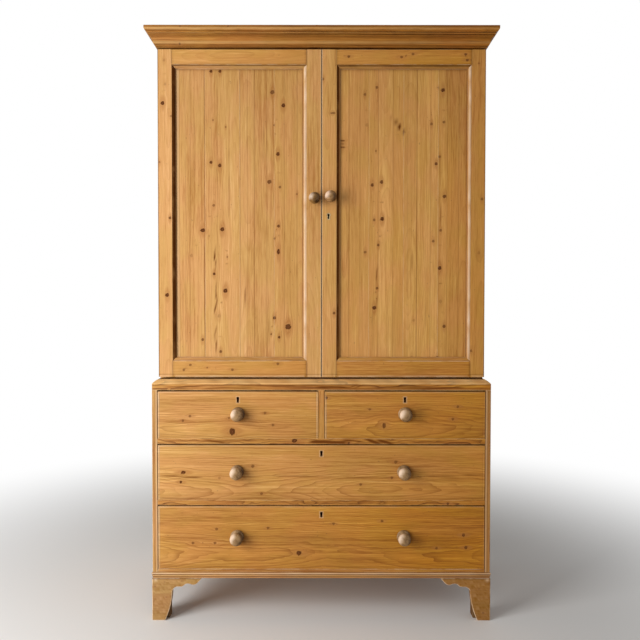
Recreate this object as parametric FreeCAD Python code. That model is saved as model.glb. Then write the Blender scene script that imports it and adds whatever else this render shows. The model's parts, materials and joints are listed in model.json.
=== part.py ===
import FreeCAD, Part
import math
import os

# An antique pine linen press in two carcasses: a two-door cupboard with fixed shelves
# standing on a chest of two short and two long drawers, on shaped bracket feet.
# Millimetres. +Z is up, the doors and drawers face -Y, X = 0 is the middle.
# The origin is the middle of the whole box, on the floor.

# --- chest: overall sizes ---
CHEST_WIDTH = 1250.0
CHEST_DEPTH = 560.0
CHEST_SIDE_THICKNESS = 20.0
FOOT_HEIGHT = 158.0
CHEST_BOTTOM_THICKNESS = 12.0
BOTTOM_OPENING = 238.0
LOWER_RAIL_THICKNESS = 18.0
MIDDLE_OPENING = 209.0
UPPER_RAIL_THICKNESS = 20.0
TOP_OPENING = 179.0
RAIL_DEPTH = 65.0
MUNTIN_WIDTH = 22.0

# --- cupboard: overall sizes ---
CUPBOARD_SETBACK = 21.0
CUPBOARD_SIDE_THICKNESS = 20.0
CUPBOARD_BOARD_THICKNESS = 20.0
DOOR_HEIGHT = 1207.0
DOOR_THICKNESS = 22.0
DOOR_FLOOR_GAP = 7.0
DOOR_TOP_GAP = 4.0
DOOR_MEETING_GAP = 3.0
DOOR_BACK_GAP = 0.5
SHELF_COUNT = 3
SHELF_THICKNESS = 18.0
SHELF_SETBACK = 14.0
BEARER_HEIGHT = 25.0
BEARER_THICKNESS = 18.0

# --- joinery that both carcasses share ---
HOUSING_DEPTH = 8.0
HOUSING_SETBACK = 12.0
BACK_THICKNESS = 12.0
BACK_REBATE = 10.0
BACK_BOARD_WIDTH = 200.0

# --- waist frame, under the cupboard ---
WAIST_FACE_HEIGHT = 24.0
WAIST_BEVEL_RISE = 16.0
WAIST_BEVEL_SWELL = 1.2
WAIST_MEMBER_WIDTH = 60.0
CHEST_TOP_THICKNESS = 18.0
CHEST_TOP_REBATE = 10.0

# --- base frame with its two reeds, on top of the feet ---
BASE_FILLET_HEIGHT = 6.0
SMALL_REED_HEIGHT = 7.0
LARGE_REED_HEIGHT = 9.0
SMALL_REED_PROUD = 1.8
LARGE_REED_PROUD = 3.0
BASE_MEMBER_WIDTH = 60.0

# --- cornice, from its lowest member up ---
CORNICE_MEMBER_WIDTH = 50.0
CORNICE_LIP = 4.0
CORNICE_FILLET_HEIGHT = 5.0
OGEE_STEP = 2.0
OGEE_REACH = 16.0
OGEE_HEIGHT = 29.0
OGEE_SWELL = 1.8
BEAD_HEIGHT = 6.0
BEAD_STEP = 2.5
BEAD_PROUD = 1.6
QUIRK_HEIGHT = 2.0
QUIRK_STEP = 2.0
NOSE_STEP = 2.0
NOSE_ROUND = 9.0
NOSE_ROUND_HEIGHT = 12.5
NOSE_HEIGHT = 19.5
NOSE_ARRIS = 2.0
CORNICE_BACK_HEIGHT = 50.0
CORNICE_BACK_THICKNESS = 22.0

# --- bracket feet, each length measured in from their own corner ---
FOOT_THICKNESS = 20.0
FOOT_PROUD = 2.0
FOOT_TOE = 48.0
FOOT_SHIN = 66.5
FOOT_KNEE = 74.6
KNEE_DROP = 56.0
KNEE_ROUND = ((5.0, 16.0), (15.0, 22.6))
LOBE_DROP = 25.4
FOOT_LENGTH = 184.0
FOOT_BLOCK = 40.0
# the wave between knee and lobe: in from the bracket's end, up from the lobe's lowest point
WAVE_START = (73.0, -7.0)
WAVE_RISE = ((68.0, -4.0), (62.0, 2.0))
WAVE_CREST = ((53.0, 4.0), (42.0, 2.5))
LOBE_UNDERSIDE = ((29.0, 0.0), (14.0, 8.5))
LOBE_END = (6.0, 17.0)

# --- door frames, panels and their mouldings ---
OUTER_STILE_WIDTH = 52.0
MEETING_STILE_WIDTH = 54.0
TOP_RAIL_WIDTH = 56.0
BOTTOM_RAIL_WIDTH = 60.0
TENON_LENGTH = 38.0
TENON_THICKNESS = 7.0
TENON_SHOULDER = 10.0
PANEL_THICKNESS = 8.0
PANEL_RECESS = 11.0
PANEL_GROOVE = 8.0
PANEL_BOARD_COUNT = 4
OVOLO_WIDTH = 14.0
OVOLO_DEPTH = 9.5
OVOLO_FILLET = 2.0

# --- butt hinges ---
HINGE_COUNT = 3
HINGE_LENGTH = 76.0
HINGE_END_DISTANCE = 150.0
LEAF_WIDTH = 18.0
LEAF_THICKNESS = 2.0
KNUCKLE_DIAMETER = 7.0
PIN_DIAMETER = 3.5
PIN_CLEARANCE = 0.05
KNUCKLE_GAP = 0.3
KNUCKLE_RECESS_GAP = 0.5

# --- drawers ---
DRAWER_CLEARANCE = 0.3
DRAWER_TOP_GAP = 4.0
DRAWER_END_GAP = 1.5
DRAWER_BACK_GAP = 20.0
DRAWER_FRONT_THICKNESS = 22.0
DRAWER_SIDE_THICKNESS = 13.0
DRAWER_BACK_THICKNESS = 12.0
DRAWER_BOTTOM_THICKNESS = 9.0
DRAWER_BOTTOM_RISE = 10.0
DRAWER_GROOVE = 6.0
DRAWER_SIDE_DROP = 3.0
DRAWER_BACK_DROP = 12.0
DOVETAIL_LAP = 6.0
DOVETAIL_PITCH = 46.0
DOVETAIL_WIDTH = 30.0
DOVETAIL_FLARE = 3.0
RUNNER_WIDTH = 40.0
CENTRE_RUNNER_WIDTH = 90.0
GUIDE_HEIGHT = 20.0
STOP_WIDTH = 30.0
STOP_LENGTH = 20.0
STOP_HEIGHT = 6.0

# --- turned pine drawer knobs ---
DRAWER_KNOB_SPACING = 616.0
DRAWER_KNOB_PAIR_OFFSET = -3.5
DRAWER_KNOB_RAISE = 3.5
DRAWER_KNOB_DIAMETER = 46.0
DRAWER_KNOB_PROJECTION = 46.0
DRAWER_KNOB_FOOT_DIAMETER = 50.0
DRAWER_KNOB_FOOT_THICKNESS = 6.0
DRAWER_KNOB_FOOT_ROUND = 2.5
DRAWER_KNOB_NECK_DIAMETER = 30.0
DRAWER_KNOB_NECK_LENGTH = 9.0
DRAWER_KNOB_HEAD_RISE = 16.0
DRAWER_KNOB_ROUND = 3.5
DRAWER_KNOB_DOME_RISE = 3.0
DRAWER_KNOB_SPIGOT_DIAMETER = 16.0

# --- round door knobs ---
DOOR_KNOB_DIAMETER = 43.0
DOOR_KNOB_PROJECTION = 45.0
DOOR_KNOB_ROSE_DIAMETER = 26.0
DOOR_KNOB_ROSE_THICKNESS = 3.0
DOOR_KNOB_NECK_DIAMETER = 15.0
DOOR_KNOB_SPIGOT_DIAMETER = 10.0
DOOR_KNOB_RISE = 659.0
RIGHT_KNOB_HIGHER = 6.0
LEFT_KNOB_FROM_EDGE = 24.0
RIGHT_KNOB_FROM_EDGE = 32.0

# --- cut locks, keyholes and the door bolt ---
DRAWER_LOCK_WIDTH = 62.0
DRAWER_LOCK_DEPTH = 42.0
DOOR_LOCK_WIDTH = 60.0
DOOR_LOCK_DEPTH = 40.0
LOCK_THICKNESS = 13.0
LOCK_PLATE = 2.5
LOCK_MARGIN = 6.0
LOCK_BOLT_WIDTH = 24.0
LOCK_BOLT_TO_KEY = 5.0
LOCK_BOLT_THICKNESS = 5.0
LOCK_BOLT_TRAVEL = 8.0
LOCK_BOLT_CLEARANCE = 0.3
LOCK_MORTISE_CLEARANCE = 1.0
DRAWER_KEYHOLE_DROP = 26.0
DOOR_KEYHOLE_FROM_EDGE = 24.5
KEYHOLE_BELOW_KNOB = 65.0
KEYHOLE_DIAMETER = 9.0
KEYHOLE_SLOT_WIDTH = 5.0
KEYHOLE_SLOT_DROP = 15.0
KEY_PIN_DIAMETER = 2.4
ESCUTCHEON_RIM = 3.0
ESCUTCHEON_THICKNESS = 3.0
ESCUTCHEON_PROUD = 0.6
BOLT_PLATE_WIDTH = 30.0
BOLT_PLATE_LENGTH = 92.0
BOLT_PLATE_THICKNESS = 2.0
BOLT_DIAMETER = 8.0
BOLT_TRAVEL = 14.0
BOLT_CLEARANCE = 0.3
BOLT_SOCKET_CLEARANCE = 0.8
BOLT_KEEPER_LENGTH = 22.0
BOLT_KEEPER_WALL = 3.0
BOLT_BUTTON_LENGTH = 12.0
BOLT_TOP_DROP = 2.0

# --- heights, worked out from the floor up ---
BASE_HEIGHT = BASE_FILLET_HEIGHT + SMALL_REED_HEIGHT + LARGE_REED_HEIGHT
carcass_z = FOOT_HEIGHT + BASE_HEIGHT
bottom_floor_z = carcass_z + CHEST_BOTTOM_THICKNESS
lower_rail_z = bottom_floor_z + BOTTOM_OPENING
middle_floor_z = lower_rail_z + LOWER_RAIL_THICKNESS
upper_rail_z = middle_floor_z + MIDDLE_OPENING
top_floor_z = upper_rail_z + UPPER_RAIL_THICKNESS
waist_z = top_floor_z + TOP_OPENING
cupboard_z = waist_z + WAIST_FACE_HEIGHT + WAIST_BEVEL_RISE
door_z = cupboard_z + DOOR_FLOOR_GAP
door_top_z = door_z + DOOR_HEIGHT
left_knob_z = door_z + DOOR_KNOB_RISE
right_knob_z = left_knob_z + RIGHT_KNOB_HIGHER
door_lock_z = right_knob_z - KEYHOLE_BELOW_KNOB
cornice_z = door_top_z + DOOR_TOP_GAP
CORNICE_HEIGHT = CORNICE_FILLET_HEIGHT + OGEE_HEIGHT + 2 * BEAD_HEIGHT + QUIRK_HEIGHT + NOSE_HEIGHT

# --- widths, from the middle out ---
half_chest = CHEST_WIDTH / 2
chest_inner = half_chest - CHEST_SIDE_THICKNESS
half_cupboard = half_chest - CUPBOARD_SETBACK
cupboard_inner = half_cupboard - CUPBOARD_SIDE_THICKNESS
CORNICE_PROJECTION = (CORNICE_LIP + OGEE_STEP + OGEE_REACH + 2 * BEAD_STEP
                      + QUIRK_STEP + NOSE_STEP + NOSE_ROUND)

# --- depths: what stands out furthest in front sets where the middle of the box lies ---
front_reach = max(DRAWER_KNOB_PROJECTION, DOOR_KNOB_PROJECTION - CUPBOARD_SETBACK,
                  CORNICE_PROJECTION - CUPBOARD_SETBACK, LARGE_REED_PROUD, FOOT_PROUD)
front_y = (front_reach - CHEST_DEPTH) / 2
back_y = front_y + CHEST_DEPTH
back_board_y = back_y - BACK_THICKNESS
door_face_y = front_y + CUPBOARD_SETBACK
door_back_y = door_face_y + DOOR_THICKNESS
cupboard_front_y = door_back_y + DOOR_BACK_GAP
rail_back_y = front_y + RAIL_DEPTH

SIDES = (-1, 1)
UP = FreeCAD.Vector(0, 0, 1)
TOWARDS_BACK = FreeCAD.Vector(0, 1, 0)
BEYOND = 5.0


# --- helpers ---

def point(x, y, z):
    return FreeCAD.Vector(x, y, z)


def box(x_span, y_span, z_span):
    """A block between two values of x, of y and of z, each pair in either order."""
    low = [min(span) for span in (x_span, y_span, z_span)]
    size = [abs(span[1] - span[0]) for span in (x_span, y_span, z_span)]
    return Part.makeBox(size[0], size[1], size[2], point(low[0], low[1], low[2]))


def rod_up(x, y, z, diameter, length):
    return Part.makeCylinder(diameter / 2, length, point(x, y, z), UP)


def rod_back(x, y, z, diameter, length):
    return Part.makeCylinder(diameter / 2, length, point(x, y, z), TOWARDS_BACK)


def joined(shapes):
    """Several overlapping shapes as one solid."""
    whole = shapes[0]
    for shape in shapes[1:]:
        whole = whole.fuse(shape)
    return only_solid(whole.removeSplitter())


def cut_by(shape, tools):
    for tool in tools:
        shape = shape.cut(tool)
    return only_solid(shape)


def only_solid(shape):
    """The one solid in a result: a piece that fell apart is an error."""
    if len(shape.Solids) != 1:
        raise ValueError("a piece came out as %d solids" % len(shape.Solids))
    return shape.Solids[0]


def mirrored(shape):
    return shape.mirror(point(0, 0, 0), point(1, 0, 0))


def outline_face(start, strokes, place):
    """A face inside a closed outline; a stroke is (end,) or, for an arc, (through, end)."""
    edges = []
    here = start
    for stroke in strokes:
        end = stroke[-1]
        if len(stroke) == 1:
            edges.append(Part.makeLine(place(here), place(end)))
        else:
            edges.append(Part.Arc(place(here), place(stroke[0]), place(end)).toShape())
        here = end
    edges.append(Part.makeLine(place(here), place(start)))
    return Part.Face(Part.Wire(edges))


def plan_prism(corners, z_low, z_high):
    """An upright block over a polygon of (x, y) corners."""
    bottom = [point(x, y, z_low) for x, y in corners]
    face = Part.Face(Part.makePolygon(bottom + bottom[:1]))
    return face.extrude(point(0, 0, z_high - z_low))


def mitred_runs(section, half_width, face_y, width_in):
    """A front, a left and a right length of one moulding, mitred at the two front corners.

    section is a face in the plane x = 0, its outer side towards -Y, face_y its datum."""
    bounds = section.BoundBox
    out = face_y - bounds.YMin + BEYOND
    wide = half_width + out
    narrow = half_width - width_in
    z_low = bounds.ZMin - BEYOND
    z_high = bounds.ZMax + BEYOND
    front_plan = [(-wide, face_y - out), (wide, face_y - out),
                  (narrow, face_y + width_in), (-narrow, face_y + width_in)]
    right_plan = [(wide, face_y - out), (wide, back_y), (narrow, back_y),
                  (narrow, face_y + width_in)]
    front_bar = section.extrude(point(2 * wide, 0, 0)).translated(point(-wide, 0, 0))
    front = only_solid(front_bar.common(plan_prism(front_plan, z_low, z_high)))
    turned = section.rotated(point(0, face_y, 0), UP, 90).translated(point(half_width, -out, 0))
    right_bar = turned.extrude(point(0, back_y - face_y + out, 0))
    right = only_solid(right_bar.common(plan_prism(right_plan, z_low, z_high)))
    return [front, mirrored(right), right]


def board_with_tongues(inner_half, y_span, z_span):
    """A board between two sides, its ends let into them behind a plain front edge."""
    reach = inner_half + HOUSING_DEPTH
    board = box((-inner_half, inner_half), y_span, z_span)
    tongues = box((-reach, reach), (y_span[0] + HOUSING_SETBACK, y_span[1]), z_span)
    return joined([board, tongues])


def back_boards(inner_half, z_span):
    """Upright boards, edge to edge, in the rebates of the two sides."""
    reach = inner_half + BACK_REBATE
    count = max(1, round(2 * reach / BACK_BOARD_WIDTH))
    width = 2 * reach / count
    boards = []
    for number in range(count):
        x = -reach + number * width
        boards.append(box((x, x + width), (back_board_y, back_y), z_span))
    return boards


def back_rebate(inner_half, side, z_span):
    """What a side loses along its rear inner edge, so that the back boards lie in it."""
    return box((0, side * (inner_half + BACK_REBATE)), (back_board_y, back_y), z_span)


# --- hinges ---

hinge_x = half_cupboard + DOOR_BACK_GAP
hinge_y = door_back_y + DOOR_BACK_GAP / 2
knuckle_length = HINGE_LENGTH / 3


def hinge_heights():
    """The lower end of each hinge of one door."""
    lowest = door_z + HINGE_END_DISTANCE
    highest = door_top_z - HINGE_END_DISTANCE - HINGE_LENGTH
    step = (highest - lowest) / (HINGE_COUNT - 1)
    return [lowest + number * step for number in range(HINGE_COUNT)]


def hinge_rod(side, z, diameter, length):
    return rod_up(side * hinge_x, hinge_y, z, diameter, length)


def fixed_leaf_plate(side, z):
    return box((side * (hinge_x - LEAF_WIDTH), side * hinge_x),
               (cupboard_front_y, cupboard_front_y + LEAF_THICKNESS), (z, z + HINGE_LENGTH))


def moving_leaf_plate(side, z):
    return box((side * (hinge_x - LEAF_WIDTH), side * hinge_x),
               (door_back_y - LEAF_THICKNESS, door_back_y), (z, z + HINGE_LENGTH))


def knuckle_space(side, z, length):
    """The round space that a knuckle turns in."""
    return hinge_rod(side, z, KNUCKLE_DIAMETER + 2 * KNUCKLE_RECESS_GAP, length)


def fixed_leaf(side, z):
    """The leaf on the cupboard side, with the lower and the upper knuckle."""
    middle_z = z + knuckle_length
    upper_z = z + 2 * knuckle_length
    knuckles = [hinge_rod(side, knuckle_z, KNUCKLE_DIAMETER, knuckle_length)
                for knuckle_z in (z, upper_z)]
    plate = fixed_leaf_plate(side, z).cut(knuckle_space(side, middle_z, knuckle_length))
    bore = hinge_rod(side, z, PIN_DIAMETER + 2 * PIN_CLEARANCE, HINGE_LENGTH)
    return cut_by(joined([plate] + knuckles), [bore])


def moving_leaf(side, z):
    """The leaf on the door, with the middle knuckle."""
    middle_z = z + knuckle_length + KNUCKLE_GAP
    length = knuckle_length - 2 * KNUCKLE_GAP
    knuckle = hinge_rod(side, middle_z, KNUCKLE_DIAMETER, length)
    plate = moving_leaf_plate(side, z)
    for other_z in (z, z + 2 * knuckle_length):
        space = knuckle_space(side, other_z - KNUCKLE_GAP, knuckle_length + 2 * KNUCKLE_GAP)
        plate = plate.cut(space)
    bore = hinge_rod(side, z, PIN_DIAMETER + 2 * PIN_CLEARANCE, HINGE_LENGTH)
    return cut_by(joined([plate, knuckle]), [bore])


def hinge_pin(side, z):
    return hinge_rod(side, z, PIN_DIAMETER, HINGE_LENGTH)


def hinge_recesses(side, leaf_plate):
    """What the wood loses at each hinge of one side: the leaf's bed and the knuckle's hollow."""
    recesses = []
    for z in hinge_heights():
        recesses.append(leaf_plate(side, z))
        recesses.append(knuckle_space(side, z - KNUCKLE_GAP, HINGE_LENGTH + 2 * KNUCKLE_GAP))
    return recesses


# --- locks: made with the bolt shooting up from the origin, then turned and placed ---

def lock_case(width, depth, keyhole_drop, turn):
    """A cut lock: a plate flush with the back of the wood, a face plate flush with its edge."""
    plate = box((-width / 2, width / 2), (LOCK_THICKNESS - LOCK_PLATE, LOCK_THICKNESS), (-depth, 0))
    face_plate = box((-width / 2, width / 2), (0, LOCK_THICKNESS), (-LOCK_PLATE, 0))
    half_case = width / 2 - LOCK_MARGIN
    case = box((-half_case, half_case), (0, LOCK_THICKNESS), (-depth + LOCK_MARGIN, 0))
    half_channel = LOCK_BOLT_WIDTH / 2 + LOCK_BOLT_CLEARANCE
    channel = box((-half_channel, half_channel), lock_bolt_span(LOCK_BOLT_CLEARANCE),
                  (LOCK_BOLT_TO_KEY - LOCK_BOLT_CLEARANCE - keyhole_drop, 0))
    body = cut_by(joined([plate, face_plate, case]), [channel])
    keyway = keyhole(0, -keyhole_drop, 0, lock_bolt_span(0)[0], turn)
    pin = rod_back(0, 0, -keyhole_drop, KEY_PIN_DIAMETER, lock_bolt_span(0)[0])
    return joined([cut_by(body, [keyway]), pin])


def lock_bolt_span(clearance):
    """The bolt's front and back faces, in the middle of the lock's thickness."""
    half = LOCK_BOLT_THICKNESS / 2 + clearance
    return (LOCK_THICKNESS / 2 - half, LOCK_THICKNESS / 2 + half)


def lock_bolt(keyhole_drop):
    return box((-LOCK_BOLT_WIDTH / 2, LOCK_BOLT_WIDTH / 2), lock_bolt_span(0),
               (LOCK_BOLT_TO_KEY - keyhole_drop, -LOCK_BOLT_CLEARANCE))


def lock_pocket(width, depth):
    return box((-width / 2, width / 2), (0, LOCK_THICKNESS), (-depth, 0))


def lock_mortise(gap):
    """The hollow in the piece across the gap that the bolt shoots into."""
    half = LOCK_BOLT_WIDTH / 2 + LOCK_MORTISE_CLEARANCE
    depth = LOCK_BOLT_TRAVEL + LOCK_MORTISE_CLEARANCE
    return box((-half, half), lock_bolt_span(LOCK_MORTISE_CLEARANCE), (gap, depth))


def keyhole(x, z, y_front, y_back, turn=0, rim=0.0):
    """A round hole with a slot below it; turn leans the slot about the hole's centre."""
    length = y_back - y_front
    hole = rod_back(x, y_front, z, KEYHOLE_DIAMETER + 2 * rim, length)
    half_slot = KEYHOLE_SLOT_WIDTH / 2 + rim
    slot = box((x - half_slot, x + half_slot), (y_front, y_back), (z - KEYHOLE_SLOT_DROP - rim, z))
    return joined([hole, slot]).rotated(point(x, y_front, z), TOWARDS_BACK, turn)


def placed(shape, turn, x, y, z):
    return shape.rotated(point(0, 0, 0), TOWARDS_BACK, turn).translated(point(x, y, z))


# --- turned knobs ---

def turned(start, strokes, x, y, z):
    """A piece turned about the Y axis, from an outline of (radius, distance in front of y)."""
    face = outline_face(start, strokes, lambda at: point(x + at[0], y - at[1], z))
    return only_solid(face.revolve(point(x, y, z), TOWARDS_BACK, 360))


def dome(radius, rise, height):
    """Strokes of a shallow dome on the axis, from its rim to the tip at that height."""
    sphere = (radius * radius + rise * rise) / (2 * rise)
    half_angle = math.asin(radius / sphere) / 2
    middle = (sphere * math.sin(half_angle), height - sphere * (1 - math.cos(half_angle)))
    return [(middle, (0, height))]


def drawer_knob(x, z):
    """Round-edged foot, hollow neck and domed head, on a spigot through the drawer front."""
    spigot = DRAWER_KNOB_SPIGOT_DIAMETER / 2
    foot = DRAWER_KNOB_FOOT_DIAMETER / 2
    neck = DRAWER_KNOB_NECK_DIAMETER / 2
    head = DRAWER_KNOB_DIAMETER / 2
    foot_top = DRAWER_KNOB_FOOT_THICKNESS
    foot_edge = (foot - DRAWER_KNOB_FOOT_ROUND, foot_top)
    edge_in = DRAWER_KNOB_FOOT_ROUND * (1 - math.cos(math.pi / 4))
    height = DRAWER_KNOB_PROJECTION
    neck_z = foot_top + DRAWER_KNOB_NECK_LENGTH
    head_z = height - DRAWER_KNOB_HEAD_RISE
    rim = (head - DRAWER_KNOB_ROUND, height - DRAWER_KNOB_DOME_RISE)
    corner = DRAWER_KNOB_ROUND * math.cos(math.pi / 4)
    round_z = rim[1] - head_z
    strokes = [((spigot, -DRAWER_FRONT_THICKNESS),), ((spigot, 0),), ((foot, 0),),
               ((foot, foot_top - DRAWER_KNOB_FOOT_ROUND),),
               ((foot - edge_in, foot_top - edge_in), foot_edge),
               ((neck + (foot_edge[0] - neck) * 0.3, (foot_top + neck_z) / 2), (neck, neck_z)),
               ((neck + (head - neck) * 0.35, (neck_z + head_z) / 2), (head, head_z)),
               ((rim[0] + corner, head_z + round_z * math.cos(math.pi / 4)), rim)]
    strokes += dome(rim[0], DRAWER_KNOB_DOME_RISE, height)
    return turned((0, -DRAWER_FRONT_THICKNESS), strokes, x, front_y, z)


def door_knob(x, z):
    """A small rose, a short neck and a round head, on a spigot through the stile."""
    spigot = DOOR_KNOB_SPIGOT_DIAMETER / 2
    rose = DOOR_KNOB_ROSE_DIAMETER / 2
    neck = DOOR_KNOB_NECK_DIAMETER / 2
    head = DOOR_KNOB_DIAMETER / 2
    height = DOOR_KNOB_PROJECTION
    ball_z = height - head
    strokes = [((spigot, -DOOR_THICKNESS),), ((spigot, 0),), ((rose, 0),),
               ((rose, DOOR_KNOB_ROSE_THICKNESS),),
               ((neck, DOOR_KNOB_ROSE_THICKNESS),),
               ((neck, ball_z - math.sqrt(head * head - neck * neck)),),
               ((head, ball_z), (0, height))]
    return turned((0, -DOOR_THICKNESS), strokes, x, door_face_y, z)


# --- the chest carcass ---

foot_face_x = half_chest + FOOT_PROUD
foot_face_y = front_y - FOOT_PROUD


def feet_outline(place):
    """One bracket: a leg that spreads to the floor, a knee, a small wave and a round lobe."""
    knee_z = FOOT_HEIGHT - KNEE_DROP
    lobe_z = FOOT_HEIGHT - LOBE_DROP
    end = (FOOT_LENGTH, FOOT_HEIGHT)
    knee = [(FOOT_KNEE + right, knee_z + up) for right, up in KNEE_ROUND]
    wave = [[(FOOT_LENGTH - back, lobe_z + up) for back, up in stroke]
            for stroke in ([WAVE_START], WAVE_RISE, WAVE_CREST, LOBE_UNDERSIDE)]
    lobe_end = (FOOT_LENGTH - LOBE_END[0], lobe_z + LOBE_END[1])
    strokes = [((FOOT_TOE, 0),), ((FOOT_SHIN, knee_z / 2), (FOOT_KNEE, knee_z)), knee]
    strokes += wave + [(lobe_end, end), ((0, FOOT_HEIGHT),)]
    return outline_face((0, 0), strokes, place)


def bracket_feet():
    """Two mitred pairs at the front, and a plain-ended bracket under each side at the back."""
    across = feet_outline(lambda at: point(foot_face_x - at[0], foot_face_y, at[1]))
    along = feet_outline(lambda at: point(foot_face_x, foot_face_y + at[0], at[1]))
    behind = feet_outline(lambda at: point(foot_face_x, back_y - at[0], at[1]))
    outer = foot_face_x + BEYOND
    past = foot_face_y - BEYOND
    inner = foot_face_x - FOOT_THICKNESS
    inner_y = foot_face_y + FOOT_THICKNESS
    front_plan = [(outer, past), (inner, inner_y), (0, inner_y), (0, past)]
    side_plan = [(outer, past), (outer, back_y), (inner, back_y), (inner, inner_y)]
    front = across.extrude(point(0, FOOT_THICKNESS, 0))
    front = only_solid(front.common(plan_prism(front_plan, 0, FOOT_HEIGHT)))
    side = along.extrude(point(-FOOT_THICKNESS, 0, 0))
    side = only_solid(side.common(plan_prism(side_plan, 0, FOOT_HEIGHT)))
    rear = behind.extrude(point(-FOOT_THICKNESS, 0, 0))
    right = [front, side, rear]
    return right + [mirrored(foot) for foot in right]


def foot_blocks():
    """Square posts glued into the corners behind the brackets."""
    blocks = []
    for side in SIDES:
        outer = foot_face_x - FOOT_THICKNESS
        x_span = (side * outer, side * (outer - FOOT_BLOCK))
        front_inner = foot_face_y + FOOT_THICKNESS
        for y_span in ((front_inner, front_inner + FOOT_BLOCK), (back_y - FOOT_BLOCK, back_y)):
            blocks.append(box(x_span, y_span, (0, FOOT_HEIGHT)))
    return blocks


def rear_member(half_width, member_width, z_span):
    """The plain rail that closes a three-sided frame at the back."""
    inner = half_width - member_width
    return box((-inner, inner), (back_y - member_width, back_y), z_span)


def base_moulding():
    """The frame on the feet, its edge worked with a small reed under a larger one."""
    small_z = BASE_FILLET_HEIGHT
    large_z = small_z + SMALL_REED_HEIGHT
    strokes = [((0, 0),), ((0, small_z),),
               ((SMALL_REED_PROUD, small_z + SMALL_REED_HEIGHT / 2), (0, large_z)),
               ((LARGE_REED_PROUD, large_z + LARGE_REED_HEIGHT / 2), (0, BASE_HEIGHT)),
               ((-BASE_MEMBER_WIDTH, BASE_HEIGHT),)]
    section = outline_face((-BASE_MEMBER_WIDTH, 0), strokes,
                           lambda at: point(0, front_y - at[0], FOOT_HEIGHT + at[1]))
    runs = mitred_runs(section, half_chest, front_y, BASE_MEMBER_WIDTH)
    return runs + [rear_member(half_chest, BASE_MEMBER_WIDTH, (FOOT_HEIGHT, carcass_z))]


def chest_bottom():
    return board_with_tongues(chest_inner, (front_y, back_board_y), (carcass_z, bottom_floor_z))


def drawer_rails():
    """The two rails between the rows of drawers, with a mortise for the lock bolt below each."""
    rails = []
    for z, thickness in ((lower_rail_z, LOWER_RAIL_THICKNESS), (upper_rail_z, UPPER_RAIL_THICKNESS)):
        rail = board_with_tongues(chest_inner, (front_y, rail_back_y), (z, z + thickness))
        rails.append(cut_by(rail, [drawer_bolt_mortise(0, z)]))
    return rails


def drawer_bolt_mortise(x, ceiling_z):
    edge_z = ceiling_z - DRAWER_TOP_GAP
    return placed(lock_mortise(DRAWER_TOP_GAP), 0, x, drawer_lock_y(), edge_z)


def drawer_muntin():
    return box((-MUNTIN_WIDTH / 2, MUNTIN_WIDTH / 2), (front_y, rail_back_y), (top_floor_z, waist_z))


def chest_sides(rails, bottom):
    """The two sides, with the housings for the rails and the bottom, and the rebate behind."""
    sides = []
    for side in SIDES:
        board = box((side * chest_inner, side * half_chest), (front_y, back_y), (carcass_z, waist_z))
        rebate = back_rebate(chest_inner, side, (carcass_z, waist_z))
        sides.append(cut_by(board, rails + [bottom, rebate]))
    return sides


def chest_top():
    inset = WAIST_MEMBER_WIDTH - CHEST_TOP_REBATE
    return box((-half_chest + inset, half_chest - inset), (front_y + inset, back_y - inset),
               (cupboard_z - CHEST_TOP_THICKNESS, cupboard_z))


def waist_frame(top):
    """The bevelled frame that the cupboard stands on, rebated for the board inside it."""
    height = cupboard_z - waist_z
    middle = (CUPBOARD_SETBACK / 2 - WAIST_BEVEL_SWELL,
              WAIST_FACE_HEIGHT + WAIST_BEVEL_RISE / 2 + WAIST_BEVEL_SWELL)
    strokes = [((WAIST_MEMBER_WIDTH, height),), ((CUPBOARD_SETBACK, height),),
               (middle, (0, WAIST_FACE_HEIGHT)), ((0, 0),)]
    section = outline_face((WAIST_MEMBER_WIDTH, 0), strokes,
                           lambda at: point(0, front_y + at[0], waist_z + at[1]))
    runs = mitred_runs(section, half_chest, front_y, WAIST_MEMBER_WIDTH)
    runs.append(rear_member(half_chest, WAIST_MEMBER_WIDTH, (waist_z, cupboard_z)))
    mortises = [drawer_bolt_mortise(side * short_drawer_middle(), waist_z) for side in SIDES]
    return [cut_by(run, [top] + mortises) for run in runs]


def drawer_runners():
    """Strips along the sides that carry the drawers, and those in the middle of the top row."""
    y_span = (rail_back_y, back_board_y)
    strips = []
    for side in SIDES:
        x_span = (side * (chest_inner - RUNNER_WIDTH), side * chest_inner)
        strips.append(box(x_span, y_span, (lower_rail_z, middle_floor_z)))
        strips.append(box(x_span, y_span, (upper_rail_z, top_floor_z)))
    half_centre = CENTRE_RUNNER_WIDTH / 2
    half_guide = MUNTIN_WIDTH / 2
    strips.append(box((-half_centre, half_centre), y_span, (upper_rail_z, top_floor_z)))
    strips.append(box((-half_guide, half_guide), y_span, (top_floor_z, top_floor_z + GUIDE_HEIGHT)))
    kicker_y = (front_y + WAIST_MEMBER_WIDTH, back_y - WAIST_MEMBER_WIDTH)
    kicker_z = (waist_z, cupboard_z - CHEST_TOP_THICKNESS)
    strips.append(box((-half_centre, half_centre), kicker_y, kicker_z))
    return strips


def drawer_stops():
    """Little blocks on each floor that the backs of the drawer fronts meet."""
    stops = []
    for drawer in DRAWERS:
        middle = (drawer["x"][0] + drawer["x"][1]) / 2
        offset = (drawer["x"][1] - drawer["x"][0]) / 4
        y = front_y + DRAWER_FRONT_THICKNESS + DRAWER_CLEARANCE
        for side in SIDES:
            x = middle + side * offset
            stops.append(box((x - STOP_WIDTH / 2, x + STOP_WIDTH / 2), (y, y + STOP_LENGTH),
                             (drawer["floor"], drawer["floor"] + STOP_HEIGHT)))
    return stops


# --- the drawers ---

def short_drawer_middle():
    return (MUNTIN_WIDTH / 2 + chest_inner) / 2


def knob_pair():
    half = DRAWER_KNOB_SPACING / 2
    return (DRAWER_KNOB_PAIR_OFFSET - half, DRAWER_KNOB_PAIR_OFFSET + half)


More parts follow.
